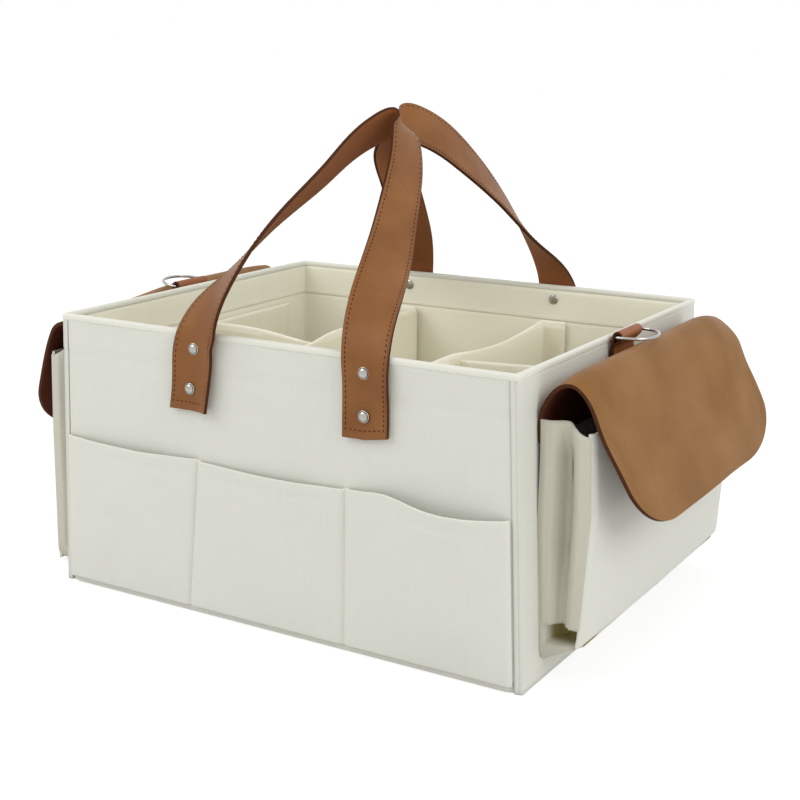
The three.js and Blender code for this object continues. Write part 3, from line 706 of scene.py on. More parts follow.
def panel_place(u, v, side):
    across = 2 * u - 1
    y = across * PANEL_HALF
    foot = PANEL_FOOT[side]
    z = foot + v * (PANEL_TOP - foot)
    crown = PANEL_CROWN[side] * (1 - across * across)
    crown += 0.8 * drift(y / 50, z / 60, 11) * (1 - across ** 4)
    from_edge = min(PANEL_HALF - abs(y), z - foot)
    curl = EDGE_CURL * max(1 - from_edge / 5.5, 0) ** 2
    welt = 0.35 * hump(WELT, 1.8, from_edge) - 0.4 * hump(8, 1.4, from_edge)
    hem_line = -0.45 * hump(PANEL_TOP - PANEL_STITCHES, 1.3, z) * (1 - hump(0, 4, from_edge))
    return panel_out(side, z) + crown - curl + welt + hem_line, y, z


def gusset_place(u, v, side):
    """u runs down one side, along the foot and up the other; v from the wall to the panel."""
    wall_foot, panel_foot = GUSSET_WALL_FOOT[side], PANEL_FOOT[side]
    foot = wall_foot + v * (panel_foot + 0.4 - wall_foot)
    top = GUSSET_TOP - (GUSSET_TOP - PANEL_TOP + 2) * flow(0.5, 0.95, v)
    half = min(u, 1 - u)
    sign = 1 if u > 0.5 else -1
    if half <= CORNER_START:
        rise = (top - foot - GUSSET_CORNER) * (1 - half / CORNER_START) ** 1.5
        across, z, standing = GUSSET_HALF, foot + GUSSET_CORNER + rise, 1
    elif half < CORNER_END:
        angle = pi / 2 * (half - CORNER_START) / (CORNER_END - CORNER_START)
        across = GUSSET_HALF - GUSSET_CORNER * (1 - cos(angle))
        z = foot + GUSSET_CORNER * (1 - sin(angle))
        standing = cos(angle) ** 2
    else:
        across = (GUSSET_HALF - GUSSET_CORNER) * (0.5 - half) / (0.5 - CORNER_END)
        z, standing = foot, 0
    above = flow(panel_foot + 10.5, panel_foot + 13.5, z)
    pleat, scoop = (float(np.interp(v, *zip(*line))) for line in (PLEAT, SCOOP))
    fold = pleat * above * (1 - 0.45 * flow(95, 50, z)) * (1 - 0.65 * flow(146, 168, z))
    fold += OPEN_FOLD[side] * scoop * (1 - above) * flow(panel_foot - 2, panel_foot + 1.5, z)
    fold *= standing * (1 + 0.12 * drift(sign * across / 30, z / 30, 3 + 2 * v))
    x_wall = end_face(z) - 0.8 + GUSSET_STANDOFF * flow(95, 160, z)
    x_panel = panel_out(side, z) - PANEL_CLOTH - 0.5
    return x_wall + v * (x_panel - x_wall), sign * (across - fold), z


ENDS = (("right", as_made), ("left", half_turn))
for side, turn in ENDS:
    foot = PANEL_FOOT[side]
    mesh = cut_sheet(*PANEL_GRID, (2 * PANEL_HALF, PANEL_TOP - foot), panel_place, side)
    mesh.transform(turn)
    panel = hemmed(f"{side}_pocket_front", mesh, PANEL_CLOTH)
    declare(panel, "basket", "canvas", f"{side}_pocket_panel")

    mesh = cut_sheet(*GUSSET_GRID, GUSSET_FLAT, gusset_place, side)
    flip(mesh)
    mesh.transform(turn)
    # This mask marks where the painted shade of the hollow lies: inside the open fold, near its foot.
    hollow_shade = mesh.verts.layers.float.new("hollow_shade")
    for vert in mesh.verts:
        sunk = GUSSET_HALF - abs(vert.co.y / MM)
        low = flow(15, 12, vert.co.z / MM - foot)
        vert[hollow_shade] = OPEN_FOLD[side] * flow(3, 9, sunk) * flow(32, 24, sunk) * low
    pleats = piece(f"{side}_pocket_pleats", mesh, shaded_pleat_cloth)
    thicken(pleats, GUSSET_CLOTH, -1)
    declare(pleats, "basket", "lining_cloth", f"{side}_pocket_gusset")


# The flaps: one tan hide on each end. Its seam lies flat on the wall under the rim, and from there the
# hide arches up and out over the pocket's mouth and hangs in front of it, with rounded lower corners.
HIDE = 2.6
FLAP_HALF = 127
FLAP_LINES = {
    "right": (
        (1.6, 156), (1.6, 170), (2.8, 176), (6.4, 183.5), (11.4, 190.4), (17.6, 194.8), (23.5, 195.4),
        (29, 192), (32.6, 187.6), (36, 181.2), (42, 165.5), (49.7, 151), (61, 130.5), (70, 107),
    ),
    "left": (
        (1.6, 156), (1.6, 168), (3.4, 173), (8, 182), (13.5, 188.5), (19.5, 192), (25.8, 192),
        (31.3, 188.7), (35, 182), (39, 170), (43, 155.5), (47, 140), (50.6, 124), (56, 98), (58.2, 88),
    ),
}
FLAP_CORNER = {"right": (52, 62), "left": (62, 62)}
FLAP_CORNER_RISE = {"right": 32, "left": 43}
FLAP_GRID = (72, 84)
CREST_WAY = 52
CREST_LIFT = {"right": (2.2, 2.2), "left": (-2.5, 7.5)}
EDGE_DROOP = {"right": 4, "left": 1.5}
REAR_SWELL = {"right": 4.5, "left": 0}
FOLD_X = 0.21474
FOLD_Z = 0.1894
FOLD_REACH = {"right": (0.002, 0.002), "left": (0.007, 0.003)}
PEBBLES = 900
FIBRES = 1500

# Leather grain: small flat pebbles with fine creases between them, and slow cloudy colour
grain, given, result = new_group("leather_grain", ["Hide", "Pebbles"], ["Height", "Crease", "Mottle"])
pebbles = add(grain, "TexVoronoi", {"Vector": given["Hide"], "Scale": given["Pebbles"]},
              feature="DISTANCE_TO_EDGE")
crease = spread(grain, pebbles.outputs["Distance"], 0, 1, 0, 0.16)
pores = speckle(grain, given["Hide"], calc(grain, "MULTIPLY", given["Pebbles"], 1.7), 3)
fill(grain, result, {
    "Height": calc(grain, "MULTIPLY_ADD", pores, 0.5, crease),
    "Crease": crease,
    "Mottle": speckle(grain, given["Hide"], 24, 4),
})

# Rubbed edges: a mask that is 1 at both long edges of a strip of the given width, and fades inward
rubbed, given, result = new_group("rubbed_edges", ["Strip", "Width", "Reach"], ["Mask"])
sideways = add(rubbed, "SeparateXYZ", {0: given["Strip"]}).outputs[0]
nearest = calc(rubbed, "MINIMUM", sideways, calc(rubbed, "SUBTRACT", given["Width"], sideways))
ragged = calc(rubbed, "ADD", speckle(rubbed, given["Strip"], 60, 3), 0.5)
reach = calc(rubbed, "MULTIPLY", given["Reach"], ragged)
worn = calc(rubbed, "SUBTRACT", 1, calc(rubbed, "DIVIDE", nearest, reach))
fill(rubbed, result, {"Mask": add(rubbed, "Clamp", {0: worn})})


def leather(name, light, shade, edge, width, reach, rough=0.46):
    """Finished leather on a strip of the given width in metres: grain, clouds and darker rubbed edges."""
    made, tree, surface = new_material(
        name, Coat_Weight=0.03, Coat_Roughness=0.35, Specular_IOR_Level=0.25)
    cut = add(tree, "UVMap", uv_map="cut")
    skin = add(tree, "Group", {"Hide": cut, "Pebbles": PEBBLES}, node_tree=grain).outputs
    worn = add(tree, "Group", {"Strip": cut, "Width": width, "Reach": reach}, node_tree=rubbed)
    cloudy = spread(tree, skin["Mottle"], 0, 1)
    lit = calc(tree, "MULTIPLY", cloudy, calc(tree, "MULTIPLY_ADD", skin["Crease"], 0.35, 0.65))
    body = blend_tones(tree, lit, shade, light)
    fill(tree, surface, {
        "Base Color": blend_tones(tree, calc(tree, "MULTIPLY", worn, 0.7), body, edge),
        "Roughness": spread(tree, skin["Mottle"], rough + 0.06, rough - 0.05),
        "Normal": bumped(tree, skin["Height"], 0.35, 0.00012),
    })
    return made


def speckled(name, first, second, pattern, dryness, relief=None, **shader):
    """A material in object coordinates whose tone and roughness follow one noise of (scale, detail).
    dryness is the roughness from end to end, relief a noise's scale and detail with strength and depth."""
    made, tree, surface = new_material(name, **shader)
    spot = add(tree, "TexCoord").outputs["Object"]
    field = speckle(tree, spot, *pattern)
    fill(tree, surface, {
        "Base Color": blend_tones(tree, field, first, second), "Roughness": spread(tree, field, *dryness)})
    if relief:
        fill(tree, surface, {"Normal": bumped(tree, speckle(tree, spot, *relief[:2]), *relief[2:])})
    return made


def raw_leather(name, light, shade, rough):
    """Leather without finish, its cut edge or its flesh side: fibrous and matt."""
    return speckled(name, shade, light, (FIBRES, 4), (rough - 0.06, rough + 0.06, 0.2, 0.8),
                    (FIBRES, 4, 0.4, 0.0002), Specular_IOR_Level=0.1)


flap_face = leather("flap_hide", (139, 93, 31), (122, 79, 21), (120, 76, 44), 2 * FLAP_HALF * MM, 0.004)
# The flesh side's dark red-brown is darkened further: painted shade for the deep shadow under the flaps.
shaded_flap_back = raw_leather("hide_back", (96, 48, 32), (70, 31, 21), 0.8)
cut_edge = raw_leather("cut_edge", (84, 48, 26), (52, 27, 14), 0.6)


def face_up(mesh):
    """Turns a sheet over if its highest face looks down."""
    mesh.normal_update()
    if max(mesh.faces, key=lambda face: face.calc_center_median().z).normal.z < 0:
        flip(mesh)


def hide_piece(name, mesh, face, back, thickness, rounding, even=True):
    """A leather sheet: finished face, raw back and a cut edge all round."""
    made = piece(name, mesh, face, back, cut_edge)
    thicken(made, thickness, 0, back_step=1, rim_step=2, even=even)
    round_edges(made, rounding)
    return made


def smooth_line(points, count):
    """A natural cubic curve through points; a fourth number of each point is carried along smoothly."""
    points = np.array(points, float)
    knots = distances(points[:, :3])
    size = len(knots)
    gaps = np.diff(knots)
    system = np.eye(size)
    load = np.zeros_like(points)
    for i in range(1, size - 1):
        system[i, i - 1:i + 2] = gaps[i - 1], 2 * (gaps[i - 1] + gaps[i]), gaps[i]
        load[i] = 6 * ((points[i + 1] - points[i]) / gaps[i] - (points[i] - points[i - 1]) / gaps[i - 1])
    bend = np.linalg.solve(system, load)
    at = np.linspace(0, knots[-1], count)
    k = np.clip(np.searchsorted(knots, at) - 1, 0, size - 2)
    h = gaps[k][:, None]
    a = (knots[k + 1] - at)[:, None] / h
    b = 1 - a
    curved = ((a ** 3 - a) * bend[k] + (b ** 3 - b) * bend[k + 1]) * h * h / 6
    return a * points[k] + b * points[k + 1] + curved


def flap_line(points):
    """The hide's middle line from its seam to its hanging edge, with the way along it."""
    places = smooth_line([(end_face(z) + out, z) for out, z in points], 400)
    return places, distances(places)


HIDE_LENGTH = flap_line(FLAP_LINES["right"])[1][-1]


def flap_place(u, v, side, places, along):
    y = FLAP_HALF * sin(pi * (u - 0.5))
    corner = FLAP_CORNER[side][y > 0]
    share = max((abs(y) - FLAP_HALF + corner) / corner, 0)
    way = v * (HIDE_LENGTH - FLAP_CORNER_RISE[side] * (1 - sqrt(1 - share * share)))
    x, z = (float(np.interp(way, along, line)) for line in places.T)
    near, far = CREST_LIFT[side]
    droop = EDGE_DROOP[side] * max((abs(y) - 96) / 31, 0) ** 2
    z += hump(CREST_WAY, 22, way) * (near + (far - near) * flow(110, -20, y) - droop)
    z += 0.5 * drift(y / 60, way / 40, 8) * flow(14, 40, way)
    x += 0.8 * drift(y / 70, way / 50, 3) * flow(80, 150, way)
    x += REAR_SWELL[side] * flow(20, 127, y) * flow(50, 74, way) * flow(150, 95, way)
    return x, y, z


for side, turn in ENDS:
    places, along = flap_line(FLAP_LINES[side])
    mesh = cut_sheet(*FLAP_GRID, (2 * FLAP_HALF, HIDE_LENGTH), flap_place, side, places, along)
    mesh.transform(turn)
    face_up(mesh)
    flap = hide_piece(f"{side}_flap_hide", mesh, flap_face, shaded_flap_back, HIDE, 0.5, even=False)
    inner, outer = FOLD_REACH[side]
    start, end = (turn @ Vector((FOLD_X + step, 0, FOLD_Z)) for step in (-inner, outer))
    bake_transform(flap)
    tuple(start)
    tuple(end)
    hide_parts(f"{side}_flap_seam", f"{side}_flap")


# The ring tabs: a short leather strip on each end wall, folded round the bar of the D-ring so that both
# its ends lie on the wall under the rim, where they are sewn flat.
RING_X = 188
RING_Z = 202.6
TAB_HALF = 17.8
TAB_LEATHER = 1.9
TAB_FOOT = 179.5
TAB_OUTER_FOOT = 187.5
TAB_ROLL = 2.75
TAB_GRID = (12, 63)
TAB_FLAT = (2 * TAB_HALF, 45)
tab_leather = leather("tab_leather", (158, 98, 58), (130, 74, 40), (92, 48, 26), 2 * TAB_HALF * MM, 0.0015)
back_line = [(end_face(z) + 0.3 + TAB_LEATHER / 2, z) for z in (TAB_FOOT, 186, 192)]
roll_line = [
    (RING_X + TAB_ROLL * cos(radians(a)), RING_Z + TAB_ROLL * sin(radians(a)))
    for a in (190, 150, 110, 70, 30, -10, -45)
]
front_line = [(end_face(z) + 0.5 + 1.5 * TAB_LEATHER, z) for z in (195.5, TAB_OUTER_FOOT)]
tab_line = smooth_line(back_line + roll_line + front_line, TAB_GRID[1] + 1)


def tab_place(u, v):
    x, z = tab_line[round(v * TAB_GRID[1])]
    return x, (2 * u - 1) * TAB_HALF, z


for side, turn in ENDS:
    mesh = cut_sheet(*TAB_GRID, TAB_FLAT, tab_place)
    mesh.transform(turn)
    face_up(mesh)
    tab = hide_piece(f"{side}_tab_strip", mesh, tab_leather, shaded_flap_back, TAB_LEATHER, 0.35)
    declare(tab, "basket", "leather", f"{side}_ring_tab")


# The D-rings: nickel-plated wire with a straight bar inside the tab's roll and a round bow, bent to shape
# and closed. The left one is turned up a little and lies on its own flap.
WIRE = 1.15
RING_HALF = 19.5
RING_REACH = 21
RING_ARM = 5
LEFT_RING_TURN = radians(-8)
nickel = speckled(
    "nickel", (160, 158, 152), (198, 196, 190), (220, 3), (0.12, 0.24), (900, 4, 0.15, 0.0001),
    Metallic=1.0)


def level_stations(plan, z, closed, thin_ends=()):
    """Stations along a level line. The ends of an open line can be thinner, so that they come out round."""
    last = len(plan) - 1
    stations = []
    for i, (x, y) in enumerate(plan):
        ahead, behind = plan[min(i + 1, last)], plan[max(i - 1, 0)]
        if closed:
            ahead, behind = plan[(i + 1) % len(plan)], plan[i - 1]
        along = Vector((ahead[0] - behind[0], ahead[1] - behind[1], 0)).normalized()
        from_end = min(i, last - i)
        thin = thin_ends[from_end] if from_end < len(thin_ends) else 1
        stations.append((Vector((x, y, z)), along.cross(UP) * thin, UP))
    return stations


arm_end = RING_X + RING_ARM
ring_plan = straight_run((RING_X, -RING_HALF), (arm_end, -RING_HALF), (), RING_ARM / 4)[:-1]
for angle in np.linspace(-pi / 2, pi / 2, 25):
    ring_plan.append((arm_end + (RING_REACH - RING_ARM) * cos(angle), RING_HALF * sin(angle)))
ring_plan += straight_run((arm_end, RING_HALF), (RING_X, RING_HALF), (), RING_ARM / 4)[1:-1]
ring_plan += straight_run((RING_X, RING_HALF), (RING_X, -RING_HALF), (), RING_HALF / 7)[:-1]
wire_section = [(WIRE * cos(tau * k / 12), WIRE * sin(tau * k / 12)) for k in range(12)]
pivot = Matrix.Translation((RING_X * MM, 0, RING_Z * MM))
left_turn = half_turn @ pivot @ Matrix.Rotation(LEFT_RING_TURN, 4, "Y") @ pivot.inverted()
for side, turn in (("right", as_made), ("left", left_turn)):
    mesh = swept(level_stations(ring_plan, RING_Z, True), wire_section, True)
    mesh.transform(turn)
    ring = piece(f"{side}_wire_ring", mesh, nickel)
    soften(ring)
    declare(ring, f"{side}_ring", "nickel", f"{side}_d_ring")


# The handles: each is one long leather strap, riveted flat on the wall at both ends. Above the rim it
# leans in over the mouth, turning on itself, and folds at the top. Rows of stitching run along its edges.
STRAP = 2.5
STRAP_HALF = 16.9
LEAN_NORMAL = np.array((0, -0.727, 0.687))
STRAP_ROUTES = {
    "front": (
        (-64.8, -153.6, 148, 98), (-60.6, -153.6, 176, 98), (-57.2, -153.8, 199, 98),
        (-37.3, -145.3, 237.5, 60), (-20.8, -113, 274.3, 41), (-6, -72, 305, 31), (12, -36, 333, 18),
        (23.5, -25.5, 337, 12), (32.8, -31, 322, 14), (40.8, -50, 294, 20), (51, -83, 257, 38),
        (64.5, -121, 234, 64), (76.8, -153.7, 201, 91), (77, -153.6, 176, 90), (76.8, -153.6, 148, 90),
    ),
    "rear": (
        (-65.2, -153.6, 148, 90), (-65.2, -153.6, 176, 90), (-65.2, -153.6, 199, 90),
        (-49.6, -137.5, 238.2, 56), (-34.5, -108.7, 275.6, 34), (-18.5, -73.7, 309.4, 18),
        (-2, -40, 331.5, 10), (8.5, -27, 334.3, 8), (17.5, -28.5, 329, 7), (27, -52, 297, 14),
        (38, -86, 262, 42), (53, -122, 236, 72), (68.4, -152.8, 202, 89), (69.4, -153.7, 176, 90),
        (69.4, -153.6, 148, 90),
    ),
}
FOOT_CUP = 0.7
FREE_EDGE = 3.4
ASKEW_FOOT = 3
STRAP_ROWS = 200
STITCH_INSET = 2.7
STITCH_PITCH = 3.4
STITCH_LENGTH = 2.3
THREAD = 0.44
STITCH_LIFT = 0.04
FIRST_STITCH = 6
FOOT_STITCHES = 7
HINGE_Y = 0.1535
HINGE_Z = (0.1985, 0.2095)
strap_face = leather("strap_leather", (139, 90, 43), (116, 70, 28), (88, 48, 22), 0.035, 0.0022, 0.44)
strap_back = raw_leather("strap_back", (148, 96, 57), (120, 69, 38), 0.7)
thread = speckled(
    "waxed_thread", (52, 20, 5), (82, 36, 10), (2600, 2), (0.45, 0.65), Specular_IOR_Level=0.12)


def unit(rows):
    return rows / np.linalg.norm(rows, axis=1)[:, None]


def strap_frames(route):
    """The strap's middle line with the direction of its width, from one foot over the top to the other.
    The fourth number of a knot is the turn of the width, in degrees, from the leaning loop's own plane."""
    fine = smooth_line(route, STRAP_ROWS + 1)
    line, turn = fine[:, :3], np.radians(fine[:, 3:])
    along = unit(np.gradient(line, axis=0))
    normal = unit(LEAN_NORMAL - (along @ LEAN_NORMAL)[:, None] * along)
    width = np.cos(turn) * normal + np.sin(turn) * np.cross(along, normal)
    return line, width, along, distances(line)[-1]


def on_wall_shift(side, height, across, v):
    """How a strap's foot leaves its middle line on the wall: cupped, and the front one askew."""
    cup = FOOT_CUP * across ** 2
    rise = 0
    if side == "front":
        cup += FREE_EDGE * max(across, 0) ** 2 * (v < 0.5)
        rise = ASKEW_FOOT * (max(-across, 0) * flow(0.9, 1, v) + across * flow(0.1, 0, v))
    return Vector((0, -cup * flow(HEIGHT + 5, HEIGHT - 9, height), rise))


def strap_stitches(side, line, width, along, total):
    """Small threads on the outer face: a row along both edges and a short row across each foot."""
    sewn = bmesh.new()
    reach = 1 - STITCH_INSET / STRAP_HALF

    def stitch(way, edge, crosswise):
        at = way / total * STRAP_ROWS
        i = min(int(at), STRAP_ROWS - 1)
        share = at - i
        spot, across, ahead = (
            Vector(grid[i] * (1 - share) + grid[i + 1] * share) for grid in (line, width, along))
        across.normalize()
        ahead = (ahead - across * ahead.dot(across)).normalized()
        out = across.cross(ahead)
        point = spot + across * edge * STRAP_HALF + out * (STRAP / 2 + STITCH_LIFT)
        point += on_wall_shift(side, spot.z, edge, way / total)
        run = across if crosswise else ahead
        turn = Matrix((run, out.cross(run), out)).transposed().to_4x4()
        size = Matrix.Diagonal((STITCH_LENGTH / 2 * MM, THREAD * MM, THREAD / 2 * MM, 1))
        place = Matrix.Translation(point * MM) @ turn @ size
        bmesh.ops.create_icosphere(sewn, subdivisions=1, radius=1, matrix=place)

    row = int((total - 2 * FIRST_STITCH) / STITCH_PITCH) + 1
    for edge in (-reach, reach):
        for way in np.linspace(FIRST_STITCH, total - FIRST_STITCH, row):
            stitch(way, edge, False)
    for way in (FIRST_STITCH, total - FIRST_STITCH):
        for edge in np.linspace(-reach, reach, FOOT_STITCHES + 2)[1:-1]:
            stitch(way, edge, True)
    return sewn


for side, turn, sign in (("front", as_made, -1), ("rear", half_turn, 1)):
    line, width, along, total = strap_frames(STRAP_ROUTES[side])

    def strap_place(u, v):
        i = round(v * STRAP_ROWS)
        across = 2 * u - 1
        point = Vector(line[i] + width[i] * across * STRAP_HALF)
        return point + on_wall_shift(side, line[i][2], across, v)

    mesh = cut_sheet(8, STRAP_ROWS, (2 * STRAP_HALF, total), strap_place)
    mesh.transform(turn)
    strap = hide_piece(f"{side}_strap_leather", mesh, strap_face, strap_back, STRAP, 0.4, even=False)
    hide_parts(f"{side}_handle", f"{side}_left_strap_end", f"{side}_right_strap_end")
    mesh = strap_stitches(side, line, width, along, total)
    mesh.transform(turn)
    sewn = piece(f"{side}_strap_stitches", mesh, thread)
    low, high = ((0, sign * HINGE_Y, z) for z in HINGE_Z)
    for made in (strap, sewn):
        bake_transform(made)
        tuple(low)
        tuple(high)


# The rivets: two nickel double-cap rivets through each strap end, wall and lining. The outer cap is a
# low dome with a rolled rim and a dark groove of painted shade and reflection; the inner one is flat.
RIVET_SPOTS = {
    "front_left": (-1, -58.6, -62.9), "front_right": (-1, 76.4, 76.4),
    "rear_left": (1, -69.4, -69.4), "rear_right": (1, 65.2, 65.2),
}
UPPER_Z = 191.5
LOWER_Z = 163.5
ON_STRAP = 155.09
ON_LINING = {"upper": 146.75, "lower": 147.15}
OUTER_CAP = (
    (0, 2.3), (1.3, 2.2), (2.5, 1.8), (3.2, 1.25), (3.45, 0.85), (3.6, 0.8), (3.9, 0.85), (4.15, 0.5),
    (4.1, 0.0), (3.6, -0.25), (1.6, -0.3), (1.6, -8.0), (0, -8.0),
)
INNER_CAP = ((0, -1.25), (2.9, -1.2), (3.7, -1.0), (4.1, -0.55), (3.9, 0), (1.6, 0.3), (1.6, 3.5), (0, 3.5))
GROOVE = (3.1, 3.65)
CAP_STEPS = 28
# Dark nickel for the outer caps' groove: painted shade and painted dark reflection, not tarnish.
groove_shade = speckled(
    "nickel_groove_shade", (52, 48, 42), (84, 80, 74), (600, 3), (0.4, 0.55), Metallic=1.0)


def add_cap(body, profile, centre, sign):
    """A turned cap: its profile of (radius, out) is spun round the rivet's axis."""
    out = Vector((0, sign, 0))
    verts = [body.verts.new((centre + UP * radius + out * height) * MM) for radius, height in profile]
    edges = [body.edges.new(pair) for pair in zip(verts, verts[1:])]
    bmesh.ops.spin(
        body, geom=verts + edges, cent=centre * MM, axis=out, angle=tau, steps=CAP_STEPS, use_merge=True)


for anchor, (sign, upper_x, lower_x) in RIVET_SPOTS.items():
    for level, x, z in (("upper", upper_x, UPPER_Z), ("lower", lower_x, LOWER_Z)):
        body = bmesh.new()
        add_cap(body, OUTER_CAP, Vector((x, sign * ON_STRAP, z)), sign)
        add_cap(body, INNER_CAP, Vector((x, sign * ON_LINING[level], z)), sign)
        weld(body)
        bmesh.ops.recalc_face_normals(body, faces=body.faces)
        # The groove between the outer cap's dome and rim gets the dark nickel: painted shade and painted
        # dark reflection.
        for face in body.faces:
            spot = face.calc_center_median() / MM
            grooved = GROOVE[0] < hypot(spot.x - x, spot.z - z) < GROOVE[1]
            face.material_index = int(grooved and abs(spot.y) > HALF_WIDTH)
        rivet = piece(f"{anchor}_{level}_cap", body, nickel, groove_shade)
        declare(rivet, "basket", "nickel", f"{anchor}_{level}_rivet")


# The dividers: padded cotton over thin foam, bound in cream along the top. Each cross divider turns out
# at both ends, where hook tape holds it; each half divider has a wide head on the end wall.
DIVIDER = 3.2
DIVIDER_FOOT = 10.9
DIVIDER_TOP = 172
HALF_DIVIDER_TOP = 170
DIVIDER_HALF = 145.1
FLANGE = 22
HEAD = 2.4
HEAD_HALF = 118
HEAD_X = 183.3
PAD_STEP = 6
PAD_TIP = 0.7
PAD_END = (0.35, 0.8)
BOUND_TOP = 2.6
CROSS_X = {"left": -60.5, "right": 57.0}
CROSS_BEND = 3
DIVIDER_BOW = 2.5
CROSS_SAG = {
    "right": ((-143, 1.5), (-90, 0.5), (-27, 2.2), (0, 0.9), (21, -1.5), (43, -3.2), (66, -3.6), (90, -2.3),
              (115, -0.1), (143, 2.6)),
    "left": ((-143, 1), (-90, -2), (-45, -3), (-13, -1), (6, 2.6), (31, 3.4), (70, 2), (110, 0), (143, 1.5)),
}
HALF_SAG = {
    "right": ((50, -2), (76, -0.7), (100, 0), (120, 0.9), (190, 1.2)),
    "left": ((50, -3), (86, -2.2), (109, 0.3), (138, 2.6), (163, 3), (190, 2.4)),
}
divider_cloth = cloth("divider_cloth", (238, 234, 213), (225, 220, 197), threads=1200, relief=0.00015)


def divider_section(top, thickness, rows=14):
    """A padded sheet's section, foot to top and back: (across, height), with a bound top edge."""
    half = thickness / 2
    height = top - DIVIDER_FOOT
    face = [(-half + 0.5, 0), (-half, 0.8)]
    face += [(-half, 0.8 + (height - 9) * k / rows) for k in range(1, rows + 1)]
    face += [(-half, height - 5.5), (-half * 0.86, height - 3.4), (-half * 0.8, height - 2.4)]
    face += [(-half * 0.74, height - 1.2), (-half * 0.4, height - 0.2), (0, height)]
    return face + [(-a, b) for a, b in reversed(face[:-1])]


def padded_run(plan, top, thickness, sway):
    """A padded sheet along a plan line, with thin closed ends; its upper part sways."""
    start, end = (
        np.add(tip, PAD_TIP * np.subtract(inner, tip) / dist(inner, tip))
        for tip, inner in (plan[:2], plan[:-3:-1]))
    plan = [plan[0], start, *plan[1:-1], end, plan[-1]]
    body = swept(level_stations(plan, DIVIDER_FOOT, False, PAD_END), divider_section(top, thickness), False)
    for vert in body.verts:
        spot = vert.co / MM
        vert.co += Vector(sway(spot, flow(DIVIDER_FOOT, top, spot.z))) * MM
    body.normal_update()
    return body


def join(body, other):
    """Adds another mesh to a body."""
    carrier = bpy.data.meshes.new("carrier")
    other.to_mesh(carrier)
    other.free()
    body.from_mesh(carrier)
    bpy.data.meshes.remove(carrier)


for side, out in (("left", -1), ("right", 1)):
    cross_x = CROSS_X[side]
    cross_sag = smooth_line(CROSS_SAG[side], 120).T
    half_sag = smooth_line(HALF_SAG[side], 120).T
    half = DIVIDER_HALF - DIVIDER / 2
    arc = [
        (cross_x + out * CROSS_BEND * (1 - cos(a)), half - CROSS_BEND * (1 - sin(a)))
        for a in (0, pi / 6, pi / 3, pi / 2)
    ]
    tip = (cross_x + out * (FLANGE - DIVIDER / 2), half)
    upper = straight_run((cross_x, 0), arc[0], (), PAD_STEP)[:-1] + arc
    upper += straight_run(arc[-1], tip, (), PAD_STEP - 1)[1:]
    cross_plan = [(x, -y) for x, y in reversed(upper[1:])] + upper

    def cross_sway(spot, high):
        free = cos(pi / 2 * min(abs(spot.y) / 143, 1))
        bow = -out * DIVIDER_BOW * sin(pi * spot.y / 95 + 0.7) * free * high
        ripple = 0.9 * drift(spot.y / 34, spot.z / 60, cross_x) * free
        return (bow + ripple, 0, float(np.interp(spot.y, *cross_sag)) * high)

    def half_sway(spot, high):
        from_wall = min(max((180 - abs(spot.x)) / 100, 0), 1)
        ripple = 1.1 * drift(spot.x / 40, spot.z / 60, 6 * out) * flow(0, 0.4, from_wall)
        bow = DIVIDER_BOW * sin(pi * from_wall) * high
        sag = float(np.interp(abs(spot.x), *half_sag)) * high
        return (head_sway(spot, high)[0], ripple + bow, sag)

    def head_sway(spot, high):
        return (-out * END_LEAN / HEIGHT * (spot.z - DIVIDER_FOOT), 0, 0)

    wall = HEAD_X - HEAD / 2
    free_edge = abs(cross_x) + DIVIDER / 2 + 1.5 + END_LEAN / HEIGHT * (DIVIDER_TOP - DIVIDER_FOOT)
    sheet_plan = straight_run((out * (wall - 0.4), 0), (out * free_edge, 0), (), PAD_STEP)
    head_plan = straight_run((out * wall, -HEAD_HALF), (out * wall, HEAD_HALF), (), PAD_STEP)
    cross = padded_run(cross_plan, DIVIDER_TOP, DIVIDER, cross_sway)
    half_sheet = padded_run(sheet_plan, HALF_DIVIDER_TOP, DIVIDER, half_sway)
    join(half_sheet, padded_run(head_plan, HALF_DIVIDER_TOP, HEAD, head_sway))
    for kind, body, top, rides in (
        ("cross", cross, DIVIDER_TOP, f"{side}_divider"),
        ("half", half_sheet, HALF_DIVIDER_TOP, f"{side}_half"),
    ):
        for face in body.faces:
            face.material_index = int(face.calc_center_median().z > (top - BOUND_TOP) * MM)
        divider = piece(f"{side}_{kind}_pad", body, divider_cloth, cream_tape_and_highlight)
        declare(divider, rides, "lining_cloth", f"{side}_{kind}_divider")


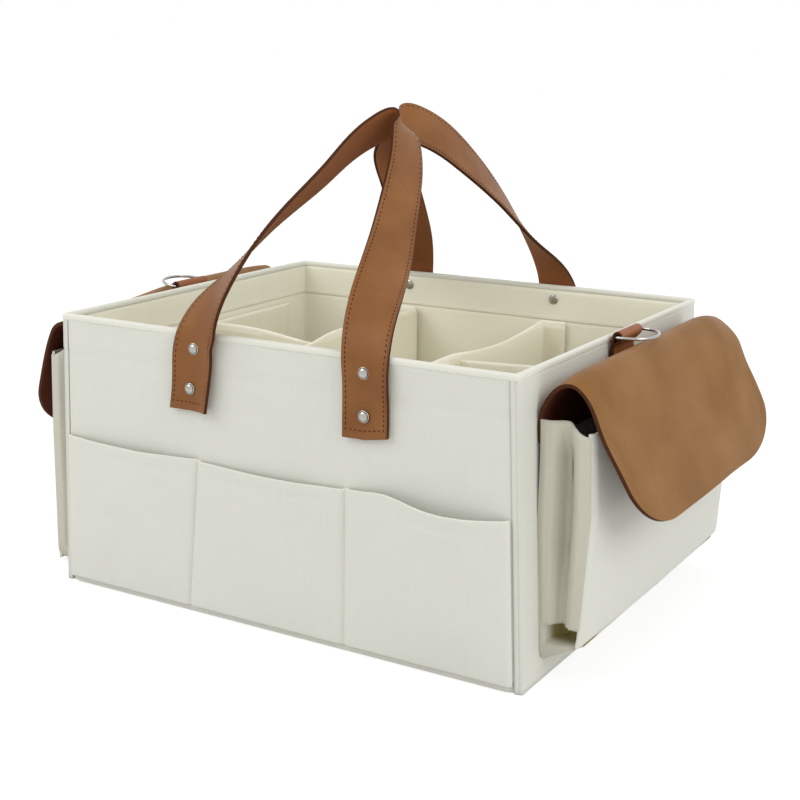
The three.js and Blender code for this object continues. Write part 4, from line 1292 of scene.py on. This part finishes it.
# The base board: a stiff sheet in a thin padded cotton cover, sewn round its edge. It lies loose on the
# lining's floor and keeps the bottom flat.
BOARD_HALF_X = 184.9
BOARD_HALF_Y = 146.9
BOARD_FOOT = 6.7
BOARD_EDGE = 1.6
BOARD_PUFF = 2.2
BOARD_GRID = (48, 40)
BOARD_FLAT = (370, 294)
BOARD_STITCHES = 9
BOARD_JOIN = 0.0004


def board_place(u, v, under):
    x = BOARD_HALF_X * sin(pi * (u - 0.5))
    y = BOARD_HALF_Y * sin(pi * (v - 0.5))
    from_edge = min(BOARD_HALF_X - abs(x), BOARD_HALF_Y - abs(y))
    rise = BOARD_EDGE + BOARD_PUFF * (1 - exp(-from_edge / 2.2)) - 0.5 * hump(BOARD_STITCHES, 1.6, from_edge)
    rise += 0.2 * drift(x / 40, y / 40, 2)
    if under:
        rise = BOARD_EDGE * hump(0, 1.2, from_edge)
    corner = 0.985 if abs(x) > BOARD_HALF_X - 0.5 and abs(y) > BOARD_HALF_Y - 0.5 else 1
    return leaning(x * corner, y * corner, BOARD_FOOT + rise)


cover, under = (cut_sheet(*BOARD_GRID, BOARD_FLAT, board_place, below) for below in (False, True))
flip(under)
join(cover, under)
weld(cover, BOARD_JOIN)
board = piece("base_pad", cover, divider_cloth)
declare(board, "basket", "lining_cloth", "base_board")


# The stiffening boards in the walls and the hook tape on the dividers keep their solids: grey card with
# fibres, and a woven tape whose face is a field of small hooks.
card = speckled(
    "board_card", (172, 164, 146), (196, 189, 172), (420, 5), (0.82, 0.95), (420, 5, 0.3, 0.0003))
hooks, tree, surface = new_material("hook_field")
spot = add(tree, "TexCoord").outputs["Object"]
field = add(tree, "TexVoronoi", {"Vector": spot, "Scale": 800, "Randomness": 0.35})
fill(tree, surface, {
    "Base Color": blend_tones(tree, field, (232, 230, 218), (200, 197, 182)),
    "Roughness": spread(tree, field, 0.7, 0.95, 0, 0.7),
    "Normal": bumped(tree, field, 0.8, 0.0006, invert=True),
})
for name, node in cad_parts.items():
    for slot in node.material_slots:
        if "hook_tape" in name:
            slot.material = hooks
        elif name.endswith("_board") and name != "base_board":
            slot.material = card
